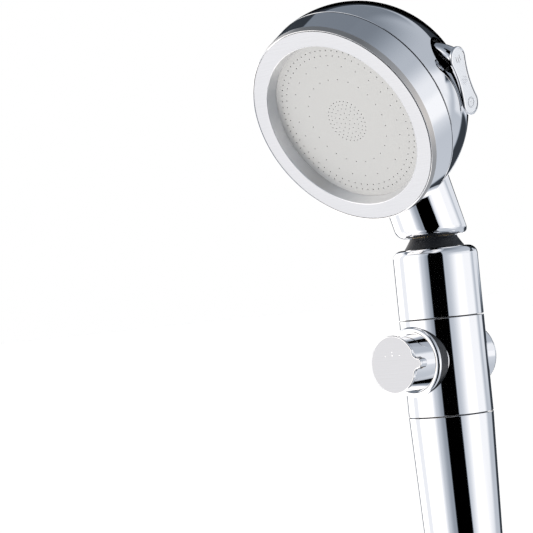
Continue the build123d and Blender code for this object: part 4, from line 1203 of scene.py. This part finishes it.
class Surround(Shading):
    """The white studio: what mirror plating sees by azimuth and elevation, in degrees."""

    def __init__(self):
        world = bpy.data.worlds.new("white_studio")
        bpy.context.scene.world = world
        world.use_nodes = True
        super().__init__(world.node_tree)
        way = self.node("ShaderNodeTexCoord", output="Generated")
        parts = self.node("ShaderNodeSeparateXYZ", None, {"Vector": way}, output="X").socket.node
        x, y, z = (Value(self, parts.outputs[i]) for i in range(3))
        degrees = 180 / math.pi
        turn = self._math("ARCTAN2", x, y * -1) * degrees
        self.azimuth = self._math("FLOORED_MODULO", turn, 360.0)
        self.elevation = self._math("ARCSINE", z) * degrees

    def _math(self, operation, *values):
        return self.node("ShaderNodeMath", {"operation": operation}, dict(enumerate(values)))

    def panel(self, left, right, soft, low, high, fade):
        """1 inside a panel between two azimuths and two elevations, 0 outside it."""
        across = self.azimuth.between((left - soft, left), (right, right + soft))
        rise = self.elevation.between((low - fade, low), (high, high + fade))
        return across * rise

    def hung(self, tone, panels):
        """The tone with panels hung in front of it, one after another."""
        for shade, *sides in panels:
            tone = tone.toward(shade, self.panel(*sides))
        return tone

    def reflected(self):
        """The tone of the studio as chrome sees it."""
        az, el = self.azimuth, self.elevation
        below = self.node("ShaderNodeClamp", None, {"Value": el, "Min": -13.0, "Max": 0.0})
        # side walls, brighter towards the floor, under a ceiling that darkens overhead
        tone = 0.61 - el.step(-30, 20) * 0.07
        tone = tone.toward(0.25, el.step(36, 78))
        # soft box on the right
        window = az.between((62, 104), (114, 154)) * (1 - el.step(12, 34)) * el.step(-44, -22)
        window = window * (1 - el.step(-6, 8) * 0.5)
        tone = tone.toward(1.25, window)
        tone = self.hung(tone, BEHIND)
        tone = self.hung(tone, LEFT_BOX)
        # a darker wall to the left of the camera, below the ceiling
        lowered = 1 - el.step(22, 42)
        tone = tone.toward(0.66, (1 - az.step(20, 32)) * lowered)
        tone = tone.toward(0.36, az.between((0, 18), (24, 34)) * lowered)
        # ceiling behind the object
        tone = tone.toward(0.24, az.between((176, 200), (300, 320)) * el.step(38, 42))
        # the black flag behind the camera, leaning out towards the floor
        left_edge = 18.5 + below * -0.55
        right_edge = 60 + below * below * 0.10
        flag = (az - left_edge).step(-1.5, 1.5) * (1 - (az - right_edge).step(-1.5, 1.5))
        tone = tone.toward(0.0, flag * (1 - el.step(66, 74)))
        # the dark doorway behind the object: its foot, then its leaning upper part
        tone = self.hung(tone, DOORWAY_FOOT)
        rim = (az - (el - 8) * (el - 8) * 0.06).step(148, 152) * el.step(12, 15)
        upper = rim * (1 - (az - el * 0.5).step(222, 232)) * (1 - (el - az * 0.12).step(13, 15))
        tone = tone.toward(0.045, upper)
        return self.hung(tone, DOORWAY_TOP)

    def light(self, plain):
        """Joins what glossy rays see, cool in its greys, to the plain light that the rest gets."""
        path = self.node("ShaderNodeLightPath", output="Is Glossy Ray")
        seen = Value(self, path.socket.node.outputs["Is Camera Ray"])
        tone = self.reflected()
        red = tone * (tone * 0.30 + 0.66)
        green = tone * (tone * 0.17 + 0.80)
        cool = self.node("ShaderNodeCombineColor", None, {"Red": red, "Green": green, "Blue": tone})
        glossy = self.node("ShaderNodeBackground", {}, {"Color": cool, "Strength": 1.14})
        soft = self.node("ShaderNodeBackground", None, {"Strength": seen * (1.0 - plain) + plain})
        joined = self.node("ShaderNodeMixShader", None, {0: path, 1: soft, 2: glossy})
        end = self.tree.nodes["World Output"]
        self.tree.links.new(joined.socket, end.inputs["Surface"])
        soft.socket.node.inputs["Color"].default_value = (1, 1, 1, 1)


def floor():
    """The pale floor that holds the object's shadow; chrome sees the studio through it."""
    bm = bmesh.new()
    bmesh.ops.create_grid(bm, x_segments=1, y_segments=1, size=20)
    made = shown("floor", bm)
    paint = Finish("floor_white", (0.9, 0.9, 0.9), 0.9)
    paint.shader.inputs["Emission Color"].default_value = (1, 1, 1, 1)
    paint.shader.inputs["Emission Strength"].default_value = 0.24
    glossy = paint.node("ShaderNodeLightPath", output="Is Glossy Ray")
    through_floor = paint.node("ShaderNodeBsdfTransparent")
    joined = paint.node("ShaderNodeMixShader", None, {0: glossy, 2: through_floor})
    paint.tree.links.new(paint.shader.outputs[0], joined.socket.node.inputs[1])
    paint.tree.links.new(joined.socket, paint.tree.nodes["Material Output"].inputs["Surface"])
    made.data.materials.append(paint.material)
    kept_out_of_mirrors(made)


def studio():
    """The surround and the floor."""
    Surround().light(0.9)
    floor()


def camera():
    """The camera: a long lens a little below the level of the head, rolled slightly."""
    azimuth = math.radians(44.4061)
    elevation = math.radians(-1.0304)
    roll = math.radians(-5.7616)
    distance = 800.0
    px_per_mm = 2.6759
    picture = 533.0
    sensor = 36
    seam_px = Vector((451.4121, 413.7439))
    level_reach = math.cos(elevation)
    back = Vector(
        (math.sin(azimuth) * level_reach, -math.cos(azimuth) * level_reach, math.sin(elevation))
    )
    level = Vector((0, 0, 1)).cross(back).normalized()
    upright = back.cross(level)
    right = level * math.cos(roll) + upright * math.sin(roll)
    above = upright * math.cos(roll) - level * math.sin(roll)
    middle = picture / 2
    spot = (
        Vector((0, 0, z_lower_seam))
        - right * ((seam_px.x - middle) / px_per_mm)
        + above * ((seam_px.y - middle) / px_per_mm)
        + back * distance
    )
    lens = bpy.data.cameras.new("camera")
    lens.sensor_width = sensor
    lens.lens = px_per_mm * distance * sensor / picture
    lens.clip_start = 0.01
    lens.clip_end = 100
    made = bpy.data.objects.new("camera", lens)
    bpy.context.scene.collection.objects.link(made)
    turn = Matrix((right, above, back)).transposed().to_4x4()
    made.matrix_world = Matrix.Translation(spot * MM) @ turn
    bpy.context.scene.camera = made


lower_handle()
hose_thread()
valve_sleeve()
knob_base_ring()
upper_collar()
swivel_cone()
flow_knob()
knob_face()
knob_marks()
rear_button()
front_ring()
bezel()
spray_plate()
rear_housing()
rocker_plate()
rocker_body()
rocker_icons()
filter_mesh()
studio()
camera()
bpy.context.scene.view_settings.view_transform = "Standard"
